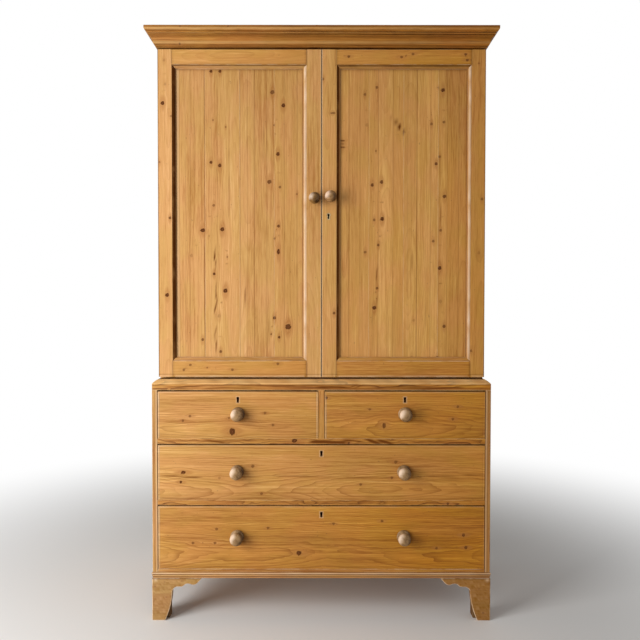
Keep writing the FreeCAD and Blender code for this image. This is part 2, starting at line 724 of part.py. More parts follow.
def drawer_lock_y():
    return front_y + DRAWER_FRONT_THICKNESS - LOCK_THICKNESS


DRAWERS = [
    {"name": "top_left_drawer", "x": (-chest_inner, -MUNTIN_WIDTH / 2), "floor": top_floor_z,
     "ceiling": waist_z, "knobs": (-short_drawer_middle(),)},
    {"name": "top_right_drawer", "x": (MUNTIN_WIDTH / 2, chest_inner), "floor": top_floor_z,
     "ceiling": waist_z, "knobs": (short_drawer_middle(),)},
    {"name": "middle_drawer", "x": (-chest_inner, chest_inner), "floor": middle_floor_z,
     "ceiling": upper_rail_z, "knobs": knob_pair()},
    {"name": "bottom_drawer", "x": (-chest_inner, chest_inner), "floor": bottom_floor_z,
     "ceiling": lower_rail_z, "knobs": knob_pair()},
]


def dovetails(x_span, y_root, y_tip, z_span):
    """A row of tails: narrow at the root, wider at the tip."""
    height = z_span[1] - z_span[0]
    count = max(1, round(height / DOVETAIL_PITCH))
    pitch = height / count
    root = min(DOVETAIL_WIDTH, pitch - 4 * DOVETAIL_FLARE) / 2
    tip = root + DOVETAIL_FLARE
    tails = []
    for number in range(count):
        z = z_span[0] + (number + 0.5) * pitch
        corners = [(y_root, z - root), (y_root, z + root), (y_tip, z + tip), (y_tip, z - tip)]
        ring = [point(x_span[0], y, height_at) for y, height_at in corners]
        face = Part.Face(Part.makePolygon(ring + ring[:1]))
        tails.append(face.extrude(point(x_span[1] - x_span[0], 0, 0)))
    return tails


def pins_between(x_span, y_span, z_span, tails):
    """What a side gives up round its tails, so that the other board's pins lie there."""
    block = box(x_span, y_span, z_span)
    for tail in tails:
        block = block.cut(tail)
    return block


def drawer_pieces(drawer):
    """Front, sides with the back, bottom, knobs, lock and lock bolt of one drawer."""
    x_low = drawer["x"][0] + DRAWER_END_GAP
    x_high = drawer["x"][1] - DRAWER_END_GAP
    x_middle = (x_low + x_high) / 2
    z_low = drawer["floor"] + DRAWER_CLEARANCE
    z_high = drawer["ceiling"] - DRAWER_TOP_GAP
    side_top = z_high - DRAWER_SIDE_DROP
    bottom_z = z_low + DRAWER_BOTTOM_RISE
    back_z_span = (bottom_z + DRAWER_BOTTOM_THICKNESS, z_high - DRAWER_BACK_DROP)
    front_back_y = front_y + DRAWER_FRONT_THICKNESS
    rear_y = back_board_y - DRAWER_BACK_GAP
    rear_inner_y = rear_y - DRAWER_BACK_THICKNESS
    lap_y = front_y + DOVETAIL_LAP
    inner_low = x_low + DRAWER_SIDE_THICKNESS
    inner_high = x_high - DRAWER_SIDE_THICKNESS

    bottom = box((inner_low - DRAWER_GROOVE, inner_high + DRAWER_GROOVE),
                 (front_back_y - DRAWER_GROOVE, rear_y),
                 (bottom_z, bottom_z + DRAWER_BOTTOM_THICKNESS))
    front = box((x_low, x_high), (front_y, front_back_y), (z_low, z_high))
    back = box((x_low, x_high), (rear_inner_y, rear_y), back_z_span)
    sides = []
    for x_span in ((x_low, inner_low), (inner_high, x_high)):
        side_z_span = (z_low, side_top)
        front_tails = dovetails(x_span, front_back_y, lap_y, side_z_span)
        back_tails = dovetails(x_span, rear_inner_y, rear_y, back_z_span)
        front_pins = pins_between(x_span, (lap_y, front_back_y), side_z_span, front_tails)
        back_pins = pins_between(x_span, (rear_inner_y, rear_y), back_z_span, back_tails)
        board = box(x_span, (lap_y, rear_y), side_z_span)
        sides.append(cut_by(board, [front_pins, back_pins, bottom]))
        front = cut_by(front, front_tails)
        back = cut_by(back, back_tails)

    lock_at = (x_middle, drawer_lock_y(), z_high)
    pocket = placed(lock_pocket(DRAWER_LOCK_WIDTH, DRAWER_LOCK_DEPTH), 0, *lock_at)
    hole = keyhole(x_middle, z_high - DRAWER_KEYHOLE_DROP, front_y, drawer_lock_y())
    knob_z = (z_low + z_high) / 2 + DRAWER_KNOB_RAISE
    knobs = [drawer_knob(x, knob_z) for x in drawer["knobs"]]
    case = lock_case(DRAWER_LOCK_WIDTH, DRAWER_LOCK_DEPTH, DRAWER_KEYHOLE_DROP, 0)
    knob_name = "_knob" if len(knobs) == 1 else "_knobs"
    name = drawer["name"]
    return {
        name + "_front": [cut_by(front, [bottom, pocket, hole] + knobs)],
        name + "_sides": sides + [back],
        name + "_bottom": [bottom],
        name + knob_name: knobs,
        name + "_lock": [placed(case, 0, *lock_at)],
        name + "_lock_bolt": [placed(lock_bolt(DRAWER_KEYHOLE_DROP), 0, *lock_at)],
    }


# --- the cupboard carcass ---

def cupboard_top_and_bottom():
    """Two boards between the sides; the upper one has the socket of the left door's bolt."""
    y_span = (cupboard_front_y, back_board_y)
    under_top = cornice_z - CUPBOARD_BOARD_THICKNESS
    bottom = board_with_tongues(cupboard_inner, y_span, (cupboard_z, cupboard_z + CUPBOARD_BOARD_THICKNESS))
    top = board_with_tongues(cupboard_inner, y_span, (under_top, cornice_z))
    socket_depth = BOLT_TRAVEL - BOLT_TOP_DROP + BOLT_SOCKET_CLEARANCE
    socket = rod_up(bolt_x(), bolt_y(), under_top, BOLT_DIAMETER + 2 * BOLT_SOCKET_CLEARANCE, socket_depth)
    return [bottom, cut_by(top, [socket])]


def cupboard_sides(boards):
    """The two sides, housed for top and bottom, rebated behind and cut for the hinges."""
    sides = []
    z_span = (cupboard_z, cornice_z)
    for side in SIDES:
        board = box((side * cupboard_inner, side * half_cupboard), (cupboard_front_y, back_y), z_span)
        rebate = back_rebate(cupboard_inner, side, z_span)
        sides.append(cut_by(board, boards + [rebate] + hinge_recesses(side, fixed_leaf_plate)))
    return sides


def shelf_heights():
    """The underside of each shelf, with equal spaces between the boards."""
    floor = cupboard_z + CUPBOARD_BOARD_THICKNESS
    ceiling = cornice_z - CUPBOARD_BOARD_THICKNESS
    space = (ceiling - floor - SHELF_COUNT * SHELF_THICKNESS) / (SHELF_COUNT + 1)
    return [floor + space + number * (space + SHELF_THICKNESS) for number in range(SHELF_COUNT)]


def cupboard_shelves():
    y_span = (cupboard_front_y + SHELF_SETBACK, back_board_y)
    return [box((-cupboard_inner, cupboard_inner), y_span, (z, z + SHELF_THICKNESS))
            for z in shelf_heights()]


def shelf_bearers():
    """A strip under each end of each shelf."""
    y_span = (cupboard_front_y + SHELF_SETBACK, back_board_y)
    strips = []
    for z in shelf_heights():
        for side in SIDES:
            x_span = (side * (cupboard_inner - BEARER_THICKNESS), side * cupboard_inner)
            strips.append(box(x_span, y_span, (z - BEARER_HEIGHT, z)))
    return strips


def cornice():
    """A mitred moulding: lip, ogee, two beads, a quirk and a rounded nose, from the bottom up."""
    ogee_low = (CORNICE_LIP + OGEE_STEP, CORNICE_FILLET_HEIGHT)
    ogee_high = (ogee_low[0] + OGEE_REACH, ogee_low[1] + OGEE_HEIGHT)
    ogee_middle = ((ogee_low[0] + ogee_high[0]) / 2, (ogee_low[1] + ogee_high[1]) / 2)
    lower_swell = ((ogee_low[0] + ogee_middle[0]) / 2 + OGEE_SWELL,
                   (ogee_low[1] + ogee_middle[1]) / 2 - OGEE_SWELL / 2)
    upper_hollow = ((ogee_high[0] + ogee_middle[0]) / 2 - OGEE_SWELL,
                    (ogee_high[1] + ogee_middle[1]) / 2 + OGEE_SWELL / 2)
    strokes = [((CORNICE_LIP, 0),), ((CORNICE_LIP, CORNICE_FILLET_HEIGHT),), (ogee_low,),
               (lower_swell, ogee_middle), (upper_hollow, ogee_high)]
    x, z = ogee_high
    for bead in range(2):
        x += BEAD_STEP
        strokes.append(((x, z),))
        strokes.append(((x + BEAD_PROUD, z + BEAD_HEIGHT / 2), (x, z + BEAD_HEIGHT)))
        z += BEAD_HEIGHT
    x += QUIRK_STEP
    strokes += [((x, z),), ((x, z + QUIRK_HEIGHT),)]
    x += NOSE_STEP
    z += QUIRK_HEIGHT
    nose_x = x + NOSE_ROUND
    round_way = math.cos(math.pi / 4)
    arris_in = NOSE_ARRIS * (1 - round_way)
    strokes += [((x, z),),
                ((x + NOSE_ROUND * round_way, z + NOSE_ROUND_HEIGHT * (1 - round_way)),
                 (nose_x, z + NOSE_ROUND_HEIGHT)),
                ((nose_x, CORNICE_HEIGHT - NOSE_ARRIS),),
                ((nose_x - arris_in, CORNICE_HEIGHT - arris_in), (nose_x - NOSE_ARRIS, CORNICE_HEIGHT)),
                ((-CORNICE_MEMBER_WIDTH, CORNICE_HEIGHT),)]
    section = outline_face((-CORNICE_MEMBER_WIDTH, 0), strokes,
                           lambda at: point(0, door_face_y - at[0], cornice_z + at[1]))
    runs = mitred_runs(section, half_cupboard, door_face_y, CORNICE_MEMBER_WIDTH)
    inner = half_cupboard - CORNICE_MEMBER_WIDTH
    back = box((-inner, inner), (back_y - CORNICE_BACK_THICKNESS, back_y),
               (cornice_z, cornice_z + CORNICE_BACK_HEIGHT))
    return runs + [back]


# --- the doors ---

def door_span(side):
    """A door's meeting edge and its outer edge."""
    return (side * DOOR_MEETING_GAP / 2, side * half_cupboard)


def bolt_x():
    return -DOOR_MEETING_GAP / 2 - MEETING_STILE_WIDTH / 2


def bolt_y():
    keeper = BOLT_DIAMETER / 2 + BOLT_CLEARANCE + BOLT_KEEPER_WALL
    return door_back_y + BOLT_PLATE_THICKNESS + keeper - BOLT_KEEPER_WALL / 2


def door_frame(side, cuts):
    """Stiles with mortises and rails with tenons, both grooved for the panel."""
    meeting_x, outer_x = door_span(side)
    stile_in = meeting_x + side * MEETING_STILE_WIDTH
    stile_out = outer_x - side * OUTER_STILE_WIDTH
    y_span = (door_face_y, door_back_y)
    opening_z = (door_z + BOTTOM_RAIL_WIDTH, door_top_z - TOP_RAIL_WIDTH)
    panel_y = (door_face_y + PANEL_RECESS, door_face_y + PANEL_RECESS + PANEL_THICKNESS)
    panel = box((stile_in - side * PANEL_GROOVE, stile_out + side * PANEL_GROOVE), panel_y,
                (opening_z[0] - PANEL_GROOVE, opening_z[1] + PANEL_GROOVE))
    tenon_y = (door_face_y + (DOOR_THICKNESS - TENON_THICKNESS) / 2,
               door_face_y + (DOOR_THICKNESS + TENON_THICKNESS) / 2)
    rails = []
    for outer_z, inner_z, way in ((door_z, opening_z[0], 1), (door_top_z, opening_z[1], -1)):
        rail = box((stile_in, stile_out), y_span, (outer_z, inner_z))
        tenon_z = (outer_z + way * TENON_SHOULDER, inner_z - way * PANEL_GROOVE)
        tenons = box((stile_in - side * TENON_LENGTH, stile_out + side * TENON_LENGTH), tenon_y, tenon_z)
        rails.append(cut_by(joined([rail, tenons]), [panel]))
    stiles = []
    for x_span in ((meeting_x, stile_in), (stile_out, outer_x)):
        stile = box(x_span, y_span, (door_z, door_top_z))
        stiles.append(cut_by(stile, rails + [panel] + cuts))
    return stiles, rails, split_panel(panel), panel_moulding((stile_in, stile_out), opening_z)


def split_panel(panel):
    """The panel's upright boards, glued edge to edge."""
    bounds = panel.BoundBox
    width = bounds.XLength / PANEL_BOARD_COUNT
    boards = []
    for number in range(PANEL_BOARD_COUNT):
        x = bounds.XMin + number * width
        boards.append(box((x, x + width), (bounds.YMin, bounds.YMax), (bounds.ZMin, bounds.ZMax)))
    return boards


def panel_moulding(x_pair, z_span):
    """Four mitred lengths of ovolo in the corner between the frame and the panel."""
    x_span = (min(x_pair), max(x_pair))
    face_y = door_face_y + PANEL_RECESS - OVOLO_DEPTH
    seat_y = door_face_y + PANEL_RECESS
    round_w = OVOLO_WIDTH - 2 * OVOLO_FILLET
    round_d = OVOLO_DEPTH - OVOLO_FILLET
    corner = math.cos(math.pi / 4)
    strokes = [((OVOLO_FILLET, 0),),
               ((OVOLO_FILLET + round_w * corner, round_d * (1 - corner)),
                (OVOLO_FILLET + round_w, round_d)),
               ((OVOLO_WIDTH, round_d),), ((OVOLO_WIDTH, OVOLO_DEPTH),), ((0, OVOLO_DEPTH),)]
    x_middle = sum(x_span) / 2
    z_middle = sum(z_span) / 2
    half_w = (x_span[1] - x_span[0]) / 2
    half_h = (z_span[1] - z_span[0]) / 2
    lengths = []
    for turn, half_run, half_across in ((0, half_w, half_h), (90, half_h, half_w),
                                        (180, half_w, half_h), (270, half_h, half_w)):
        section = outline_face((0, 0), strokes,
                               lambda at: point(-half_run, face_y + at[1], -half_across + at[0]))
        bar = section.extrude(point(2 * half_run, 0, 0))
        rise = half_across
        keep = [point(-half_run, 0, -half_across), point(half_run, 0, -half_across),
                point(half_run - rise, 0, 0), point(rise - half_run, 0, 0)]
        if half_run <= half_across:
            rise = half_run
            keep = [keep[0], keep[1], point(0, 0, rise - half_across)]
        wedge = Part.Face(Part.makePolygon(keep + keep[:1])).extrude(point(0, seat_y - face_y, 0))
        bar = only_solid(bar.common(wedge.translated(point(0, face_y, 0))))
        bar = bar.rotated(point(0, 0, 0), TOWARDS_BACK, turn)
        lengths.append(bar.translated(point(x_middle, 0, z_middle)))
    return lengths


def left_door():
    meeting_x = door_span(-1)[0]
    knob = door_knob(meeting_x - LEFT_KNOB_FROM_EDGE, left_knob_z)
    across = placed(lock_mortise(DOOR_MEETING_GAP), -90, -meeting_x, door_lock_y(), door_lock_z)
    stiles, rails, panel, moulding = door_frame(-1, [knob, across] + hinge_recesses(-1, moving_leaf_plate))
    barrel, bolt = door_bolt()
    return {
        "left_door_stiles": stiles,
        "left_door_rails": rails,
        "left_door_panel": panel,
        "left_door_panel_moulding": moulding,
        "left_door_knob": [knob],
        "left_door_hinge_leaves": [moving_leaf(-1, z) for z in hinge_heights()],
        "left_door_bolt_barrel": [barrel],
        "left_door_bolt": [bolt],
    }


def door_lock_y():
    return door_back_y - LOCK_THICKNESS


def right_door():
    meeting_x = door_span(1)[0]
    lock_at = (meeting_x, door_lock_y(), door_lock_z)
    hole_x = meeting_x + DOOR_KEYHOLE_FROM_EDGE
    knob = door_knob(meeting_x + RIGHT_KNOB_FROM_EDGE, right_knob_z)
    pocket = placed(lock_pocket(DOOR_LOCK_WIDTH, DOOR_LOCK_DEPTH), -90, *lock_at)
    hole = keyhole(hole_x, door_lock_z, door_face_y, door_lock_y())
    rim = keyhole(hole_x, door_lock_z, door_face_y - ESCUTCHEON_PROUD,
                  door_face_y - ESCUTCHEON_PROUD + ESCUTCHEON_THICKNESS, 0, ESCUTCHEON_RIM)
    escutcheon = cut_by(rim, [keyhole(hole_x, door_lock_z, door_face_y - ESCUTCHEON_PROUD, door_lock_y())])
    case = lock_case(DOOR_LOCK_WIDTH, DOOR_LOCK_DEPTH, DOOR_KEYHOLE_FROM_EDGE, 90)
    cuts = [knob, pocket, hole, rim] + hinge_recesses(1, moving_leaf_plate)
    stiles, rails, panel, moulding = door_frame(1, cuts)
    return {
        "right_door_stiles": stiles,
        "right_door_rails": rails,
        "right_door_panel": panel,
        "right_door_panel_moulding": moulding,
        "right_door_knob": [knob],
        "right_door_hinge_leaves": [moving_leaf(1, z) for z in hinge_heights()],
        "right_door_lock": [placed(case, -90, *lock_at), escutcheon],
        "right_door_lock_bolt": [placed(lock_bolt(DOOR_KEYHOLE_FROM_EDGE), -90, *lock_at)],
    }


def door_bolt():
    """A barrel bolt inside the left door: a plate with two keepers, and the bolt in them."""
    x = bolt_x()
    y = bolt_y()
    tip_z = cornice_z - CUPBOARD_BOARD_THICKNESS - BOLT_TOP_DROP
    low_z = tip_z - BOLT_PLATE_LENGTH
    plate = box((x - BOLT_PLATE_WIDTH / 2, x + BOLT_PLATE_WIDTH / 2),
                (door_back_y, door_back_y + BOLT_PLATE_THICKNESS), (low_z, tip_z))
    bore_diameter = BOLT_DIAMETER + 2 * BOLT_CLEARANCE
    keeper_diameter = bore_diameter + 2 * BOLT_KEEPER_WALL
    keepers = [rod_up(x, y, z, keeper_diameter, BOLT_KEEPER_LENGTH)
               for z in (low_z, tip_z - BOLT_KEEPER_LENGTH)]
    bore = rod_up(x, y, low_z, bore_diameter, BOLT_PLATE_LENGTH)
    barrel = cut_by(joined([plate] + keepers), [bore])
    shaft = rod_up(x, y, low_z, BOLT_DIAMETER, BOLT_PLATE_LENGTH)
    button_z = low_z + BOLT_KEEPER_LENGTH + BOLT_CLEARANCE + BOLT_DIAMETER / 2
    button = rod_back(x, y, button_z, BOLT_DIAMETER, keeper_diameter / 2 + BOLT_BUTTON_LENGTH)
    return barrel, joined([shaft, button])


# --- the whole press ---

def all_pieces():
    bottom = chest_bottom()
    rails = drawer_rails()
    top = chest_top()
    boards = cupboard_top_and_bottom()
    heights = hinge_heights()
    pieces = {
        "bracket_feet": bracket_feet(),
        "foot_blocks": foot_blocks(),
        "base_moulding": base_moulding(),
        "chest_bottom": [bottom],
        "chest_sides": chest_sides(rails, bottom),
        "chest_back": back_boards(chest_inner, (carcass_z, waist_z)),
        "chest_top": [top],
        "waist_frame": waist_frame(top),
        "drawer_rails": rails,
        "drawer_muntin": [drawer_muntin()],
        "drawer_runners": drawer_runners(),
        "drawer_stops": drawer_stops(),
        "cupboard_sides": cupboard_sides(boards),
        "cupboard_top_and_bottom": boards,
        "cupboard_back": back_boards(cupboard_inner, (cupboard_z, cornice_z)),
        "cupboard_shelves": cupboard_shelves(),
        "shelf_bearers": shelf_bearers(),
        "cornice": cornice(),
        "hinge_fixed_leaves": [fixed_leaf(side, z) for side in SIDES for z in heights],
        "hinge_pins": [hinge_pin(side, z) for side in SIDES for z in heights],
    }
    for group in [left_door(), right_door()] + [drawer_pieces(drawer) for drawer in DRAWERS]:
        pieces.update(group)
    return pieces


def export(name, solids):
    shape = solids[0] if len(solids) == 1 else Part.makeCompound(solids)
    shape.exportStep("parts/%s.step" % name)


os.makedirs("parts", exist_ok=True)
PIECES = all_pieces()
for piece_name, piece_solids in PIECES.items():
    export(piece_name, piece_solids)
print("nodes:", len(PIECES), "solids:", sum(len(solids) for solids in PIECES.values()))
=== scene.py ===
# %% [markdown]
# A waxed pine linen press: a cupboard with two panelled doors on a chest of four drawers.
# The solid model already has every board, moulding and hinge in its place. A plain solid looks
# new and made of plastic, though, so this lesson gives each board its own worn edges, grain,
# knots and wax. Everything is in metres and stays exactly where the solid model has it.

# %% Load the solid model
import json
import math
import random
from collections import defaultdict

import bmesh
import bpy
import numpy as np
from mathutils import Euler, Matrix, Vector

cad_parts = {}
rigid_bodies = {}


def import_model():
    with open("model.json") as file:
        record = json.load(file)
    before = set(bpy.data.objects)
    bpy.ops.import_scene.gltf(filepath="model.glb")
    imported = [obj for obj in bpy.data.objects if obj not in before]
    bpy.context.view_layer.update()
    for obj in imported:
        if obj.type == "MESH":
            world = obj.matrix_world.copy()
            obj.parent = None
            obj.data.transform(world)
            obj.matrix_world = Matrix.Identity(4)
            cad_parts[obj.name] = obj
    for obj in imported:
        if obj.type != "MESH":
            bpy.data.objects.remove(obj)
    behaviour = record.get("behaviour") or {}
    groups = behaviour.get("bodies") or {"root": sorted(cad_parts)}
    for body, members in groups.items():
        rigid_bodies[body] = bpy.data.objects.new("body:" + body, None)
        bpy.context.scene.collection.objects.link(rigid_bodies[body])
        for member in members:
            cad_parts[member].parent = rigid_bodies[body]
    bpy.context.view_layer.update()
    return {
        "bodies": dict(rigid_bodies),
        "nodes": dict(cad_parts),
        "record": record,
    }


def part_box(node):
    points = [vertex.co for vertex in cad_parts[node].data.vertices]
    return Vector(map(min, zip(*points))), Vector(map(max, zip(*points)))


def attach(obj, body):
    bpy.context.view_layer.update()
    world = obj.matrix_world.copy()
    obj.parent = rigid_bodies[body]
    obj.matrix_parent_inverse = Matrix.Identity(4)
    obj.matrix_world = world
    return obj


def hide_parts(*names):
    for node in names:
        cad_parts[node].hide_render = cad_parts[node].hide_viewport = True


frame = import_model()
NODES = frame["nodes"]
BODY_OF = {node: body for body, nodes in frame["record"]["behaviour"]["bodies"].items() for node in nodes}
SLOT_OF = {part["node"]: part["material_slot"] for part in frame["record"]["subparts"]}
print("solid model:", len(NODES), "nodes on", len(frame["bodies"]), "bodies")

# %% [markdown]
# The camera comes first, because the knots and cracks are laid out on its front view. It
# stands straight in front, as high as the eyes of someone sitting, and looks down a little
# more than one degree. A point on the front of the press can then be named by where it lies in
# a view of 640 by 640 points, and a ray through that point finds the real place on the wood.

# %% Camera
VIEW_SIZE = 640
FOCAL_POINTS = 626.0
SENSOR_WIDTH = 36.0
EYE = Vector((-0.0055, -2.557, 1.165))
PITCH_DOWN = math.radians(1.24)
ROLL = math.radians(0.05)

lens = bpy.data.cameras.new("eye level lens")
lens.sensor_width = SENSOR_WIDTH
lens.lens = FOCAL_POINTS / VIEW_SIZE * SENSOR_WIDTH
camera = bpy.data.objects.new("eye level camera", lens)
camera.location = EYE
aim = Euler((math.pi / 2 - PITCH_DOWN, 0, 0)).to_matrix() @ Euler((0, 0, ROLL)).to_matrix()
camera.rotation_euler = aim.to_euler()
bpy.context.scene.collection.objects.link(camera)
bpy.context.scene.camera = camera


def on_front(right, down, depth):
    """The place on the upright plane y = depth that lies at this point of the front view."""
    half = VIEW_SIZE / 2
    ray = aim @ Vector((right - half, half - down, -FOCAL_POINTS))
    return EYE + ray * ((depth - EYE.y) / ray.y)


print("lens: %.1f mm" % lens.lens)

# %% [markdown]
# A node of the solid model may hold several boards, and its mesh is cut up into flat patches
# with doubled corners. Three things could be done: bevel the mesh as it is, which tears it at
# the doubled corners; model every board anew; or sort the triangles into their boards first.
# The last keeps every mortise and dovetail. Two triangles belong to one board when they share
# an edge, and where two boards touch, the triangles nearest to each other in the list pair up.

# %% Sort the triangles of a node into its boards
WELD = 6          # decimals to which corners count as one
FLAT = math.radians(1.0)


def boards_of(node):
    """Each closed solid of a node, as its own clean bmesh."""
    mesh = NODES[node].data
    welded = [tuple(round(value, WELD) for value in vertex.co) for vertex in mesh.vertices]
    corner_of = {}
    places = []
    for key in welded:
        if key not in corner_of:
            corner_of[key] = len(places)
            places.append(key)
    corner = [corner_of[key] for key in welded]
    triangles = []
    for polygon in mesh.polygons:
        ids = [corner[index] for index in polygon.vertices]
        if len(set(ids)) == len(ids):
            triangles.append(ids)
    owners = defaultdict(list)
    for number, ids in enumerate(triangles):
        for one, two in zip(ids, ids[1:] + ids[:1]):
            owners[min(one, two), max(one, two)].append(number)
    group = list(range(len(triangles)))

    def root(number):
        while group[number] != number:
            group[number] = group[group[number]]
            number = group[number]
        return number

    for numbers in owners.values():
        for one, two in zip(numbers[::2], numbers[1::2]):
            group[root(one)] = root(two)
    members = defaultdict(list)
    for number, ids in enumerate(triangles):
        members[root(number)].append(ids)
    boards = []
    for faces in members.values():
        board = bmesh.new()
        vertex_of = {}
        for ids in faces:
            for index in ids:
                if index not in vertex_of:
                    vertex_of[index] = board.verts.new(places[index])
            board.faces.new([vertex_of[index] for index in ids])
        board.normal_update()
        bmesh.ops.dissolve_limit(board, angle_limit=FLAT, verts=board.verts[:], edges=board.edges[:])
        boards.append(board)
    return boards


print("boards in the left door's panel:", len(boards_of("left_door_panel")))

# %% [markdown]
# Old boards have no sharp corners. A narrow bevel on every sharp edge catches the light as a
# worn arris does, and the bevel's faces are marked, so that the finish can be paler there.
# A board that carries knots also needs points close together, because each point will
# remember how far it is from the nearest knot. Straight cuts right through the board make them.

# %% Soften and divide a board
SHARP = math.radians(24)
ALREADY_CUT = 0.00005   # a cut passes a point that lies nearer than this


def soften(board, width):
    """Bevels the sharp edges of a board and marks the new faces as worn."""
    worn = board.faces.layers.int.new("worn")
    sharp = [edge for edge in board.edges if len(edge.link_faces) == 2 and edge.calc_face_angle(0) > SHARP]
    made = bmesh.ops.bevel(board, geom=sharp, offset=width, offset_type="OFFSET", segments=2,
                           profile=0.5, affect="EDGES", clamp_overlap=True)
    for face in made["faces"]:
        face[worn] = 1


def divide(board, axis, places):
    """Cuts a board right through at each place along one axis."""
    normal = Vector((0, 0, 0))
    normal[axis] = 1
    for place in places:
        geometry = board.verts[:] + board.edges[:] + board.faces[:]
        bmesh.ops.bisect_plane(board, geom=geometry, dist=ALREADY_CUT,
                               plane_co=normal * place, plane_no=normal)


def evenly(low, high, step):
    """Places between two ends, about one step apart."""
    count = max(1, round((high - low) / step))
    return [low + (high - low) * number / count for number in range(1, count)]


print("cuts in a board of 50 mm, about 16 mm apart:", len(evenly(0.0, 0.050, 0.016)))

# %% [markdown]
# Each point of a board remembers four things, as attributes that the finish reads:
# - grain: how far it lies along the board, across it and through it, seen from the heart of
#   the tree that the board was sawn from;
# - knot and knot_size: how far it is from the nearest knot, in knot radii, and that radius;
# - finish: how worn, how grimy and how streaked it is, with painted highlight and shade in it too;
# - board: whether the board is paler or darker, how warm it is, and if it has chance knots.

# %% What a point of a board remembers
# distances from a knot are in knot radii: it reaches so far, and two knots fade where they meet
KNOT_REACH = 6.0
KNOT_BORDER = 0.6
# along the grain a distance counts for less, so that the reach of a knot is a long oval
KNOT_OVAL = 0.4
NO_KNOT = (99.0, 99.0, 0.0)
USUAL_KNOT = 0.005
FAR_AWAY = 1e9
ALONG_TRUNK = 40
HEART_ACROSS = 0.45
HEART_DEPTH = (0.03, 0.09)


def grain_of(points, axes, rng):
    """Distances along, across and through, with the heart of the tree beside the board."""
    along, across, through = axes
    middle = (points.min(0) + points.max(0)) / 2
    width = np.ptp(points[:, across])
    heart_across = rng.uniform(-HEART_ACROSS, HEART_ACROSS) * width
    heart_through = rng.choice((-1, 1)) * rng.uniform(*HEART_DEPTH)
    return np.stack([points[:, along] + rng.uniform(-ALONG_TRUNK, ALONG_TRUNK),
                     points[:, across] - middle[across] + heart_across,
                     points[:, through] - middle[through] + heart_through], axis=1)


def nearest_knot(points, axes, knots):
    """For each point the offset from its nearest knot in radii, that knot's strength and its radius."""
    offsets = np.full((len(points), 3), NO_KNOT)
    sizes = np.full(len(points), USUAL_KNOT)
    closest = np.full(len(points), FAR_AWAY)
    second = np.full(len(points), FAR_AWAY)
    for place, radius, strength, length in knots:
        a = (points[:, axes[0]] - place[axes[0]]) / (radius * length)
        b = (points[:, axes[1]] - place[axes[1]]) / radius
        distance = np.sqrt((KNOT_OVAL * a) ** 2 + b ** 2)
        nearer = distance < closest
        second = np.where(nearer, closest, np.minimum(second, distance))
        fade = np.clip((KNOT_REACH - distance) / (KNOT_REACH / 2), 0, 1)
        offsets[nearer] = np.stack([a, b, strength * fade], axis=1)[nearer]
        sizes[nearer] = radius
        closest[nearer] = distance[nearer]
    offsets[:, 2] *= np.clip((second - closest - KNOT_BORDER) / KNOT_BORDER / 2, 0, 1)
    return offsets, sizes


print("across the board a knot of 5 mm reaches %.0f mm" % (KNOT_REACH * USUAL_KNOT * 1000))

# %% [markdown]
# Two more things lie on a front: the upright strips of a panel, which are paler or darker than
# their neighbours, and long dark streaks where resin or a joint shows. Both could be painted on
# an image. Here each is worked out from the place of a point, so it stays sharp at any size.

# %% Strips and streaks on a board
X, Y, Z = 0, 1, 2
STRIP_EDGE = 0.0016
STREAK_END = 0.03
STREAK_WAVES = 45
STREAK_SHIFT = 50


def strips_on(points, strips):
    """How much paler or darker each point is, for the upright strip of a panel that it lies in."""
    tint = np.zeros(len(points))
    for start, end, paler in strips:
        inside = np.clip((points[:, X] - start) / STRIP_EDGE + 0.5, 0, 1)
        tint += paler * inside * np.clip((end - points[:, X]) / STRIP_EDGE + 0.5, 0, 1)
    return tint


def streaks_on(points, axes, streaks):
    """How dark the long streaks in the grain make each point."""
    shade = np.zeros(len(points))
    along, across = points[:, axes[0]], points[:, axes[1]]
    for start, end, width, strength, wave in streaks:
        low, high = sorted((start[axes[0]], end[axes[0]]))
        share = np.clip((along - start[axes[0]]) / (end[axes[0]] - start[axes[0]]), 0, 1)
        line = start[axes[1]] + share * (end[axes[1]] - start[axes[1]])
        line = line + wave * np.sin(along * STREAK_WAVES + start[axes[1]] * STREAK_SHIFT)
        begun = np.clip((along - low) / STREAK_END + 0.5, 0, 1)
        ends = begun * np.clip((high - along) / STREAK_END + 0.5, 0, 1)
        shade += strength * ends * np.exp(-((across - line) / width) ** 2)
    return shade


print("the edge of a strip is %.1f mm wide" % (STRIP_EDGE * 1000))

# %% [markdown]
# Every new piece stands for a node of the solid model, so it has to move with the same body.
# That is said in one place for all of them. Bevelled boards also need their large faces shaded
# flat, or the bevels would make them look like pillows.

# %% Hang a piece on its body
FLAT_FACE_WEIGHT = 80


def stand_in(name, mesh, node, place=(0, 0, 0)):
    """A mesh as a piece that stands for a node and moves with the body of that node."""
    piece = bpy.data.objects.new(name, mesh)
    piece.location = place
    bpy.context.scene.collection.objects.link(piece)
    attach(piece, BODY_OF[node])
    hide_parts(node)
    SLOT_OF[node]
    return piece


def keep_faces_flat(piece, keep_sharp):
    """Shades each large face of a bevelled piece as flat."""
    even = piece.modifiers.new("flat faces stay flat", "WEIGHTED_NORMAL")
    even.keep_sharp = keep_sharp
    even.weight = FLAT_FACE_WEIGHT


print("kinds of material:", len(set(SLOT_OF.values())))

# %% [markdown]
# The grain of a board runs along its longest side. That could be noted for each board, but it
# is safer to measure it: then it is still right when the solid model changes. What the points
# remember goes into the mesh as attributes, which the finish can read by their names.

# %% Measure a board and write down what it remembers
def points_of(board):
    """The places of a board's corners, one row for each."""
    return np.array([vertex.co for vertex in board.verts])


def axes_by_length(points):
    """The grain runs along a board's longest side and the board is thinnest last."""
    return tuple(int(axis) for axis in np.argsort(-np.ptp(points, axis=0)))


def axes_of_front(points):
    """Along and across the front face of a board: right and up, the longer one first."""
    return (X, Z) if np.ptp(points[:, X]) > np.ptp(points[:, Z]) else (Z, X)


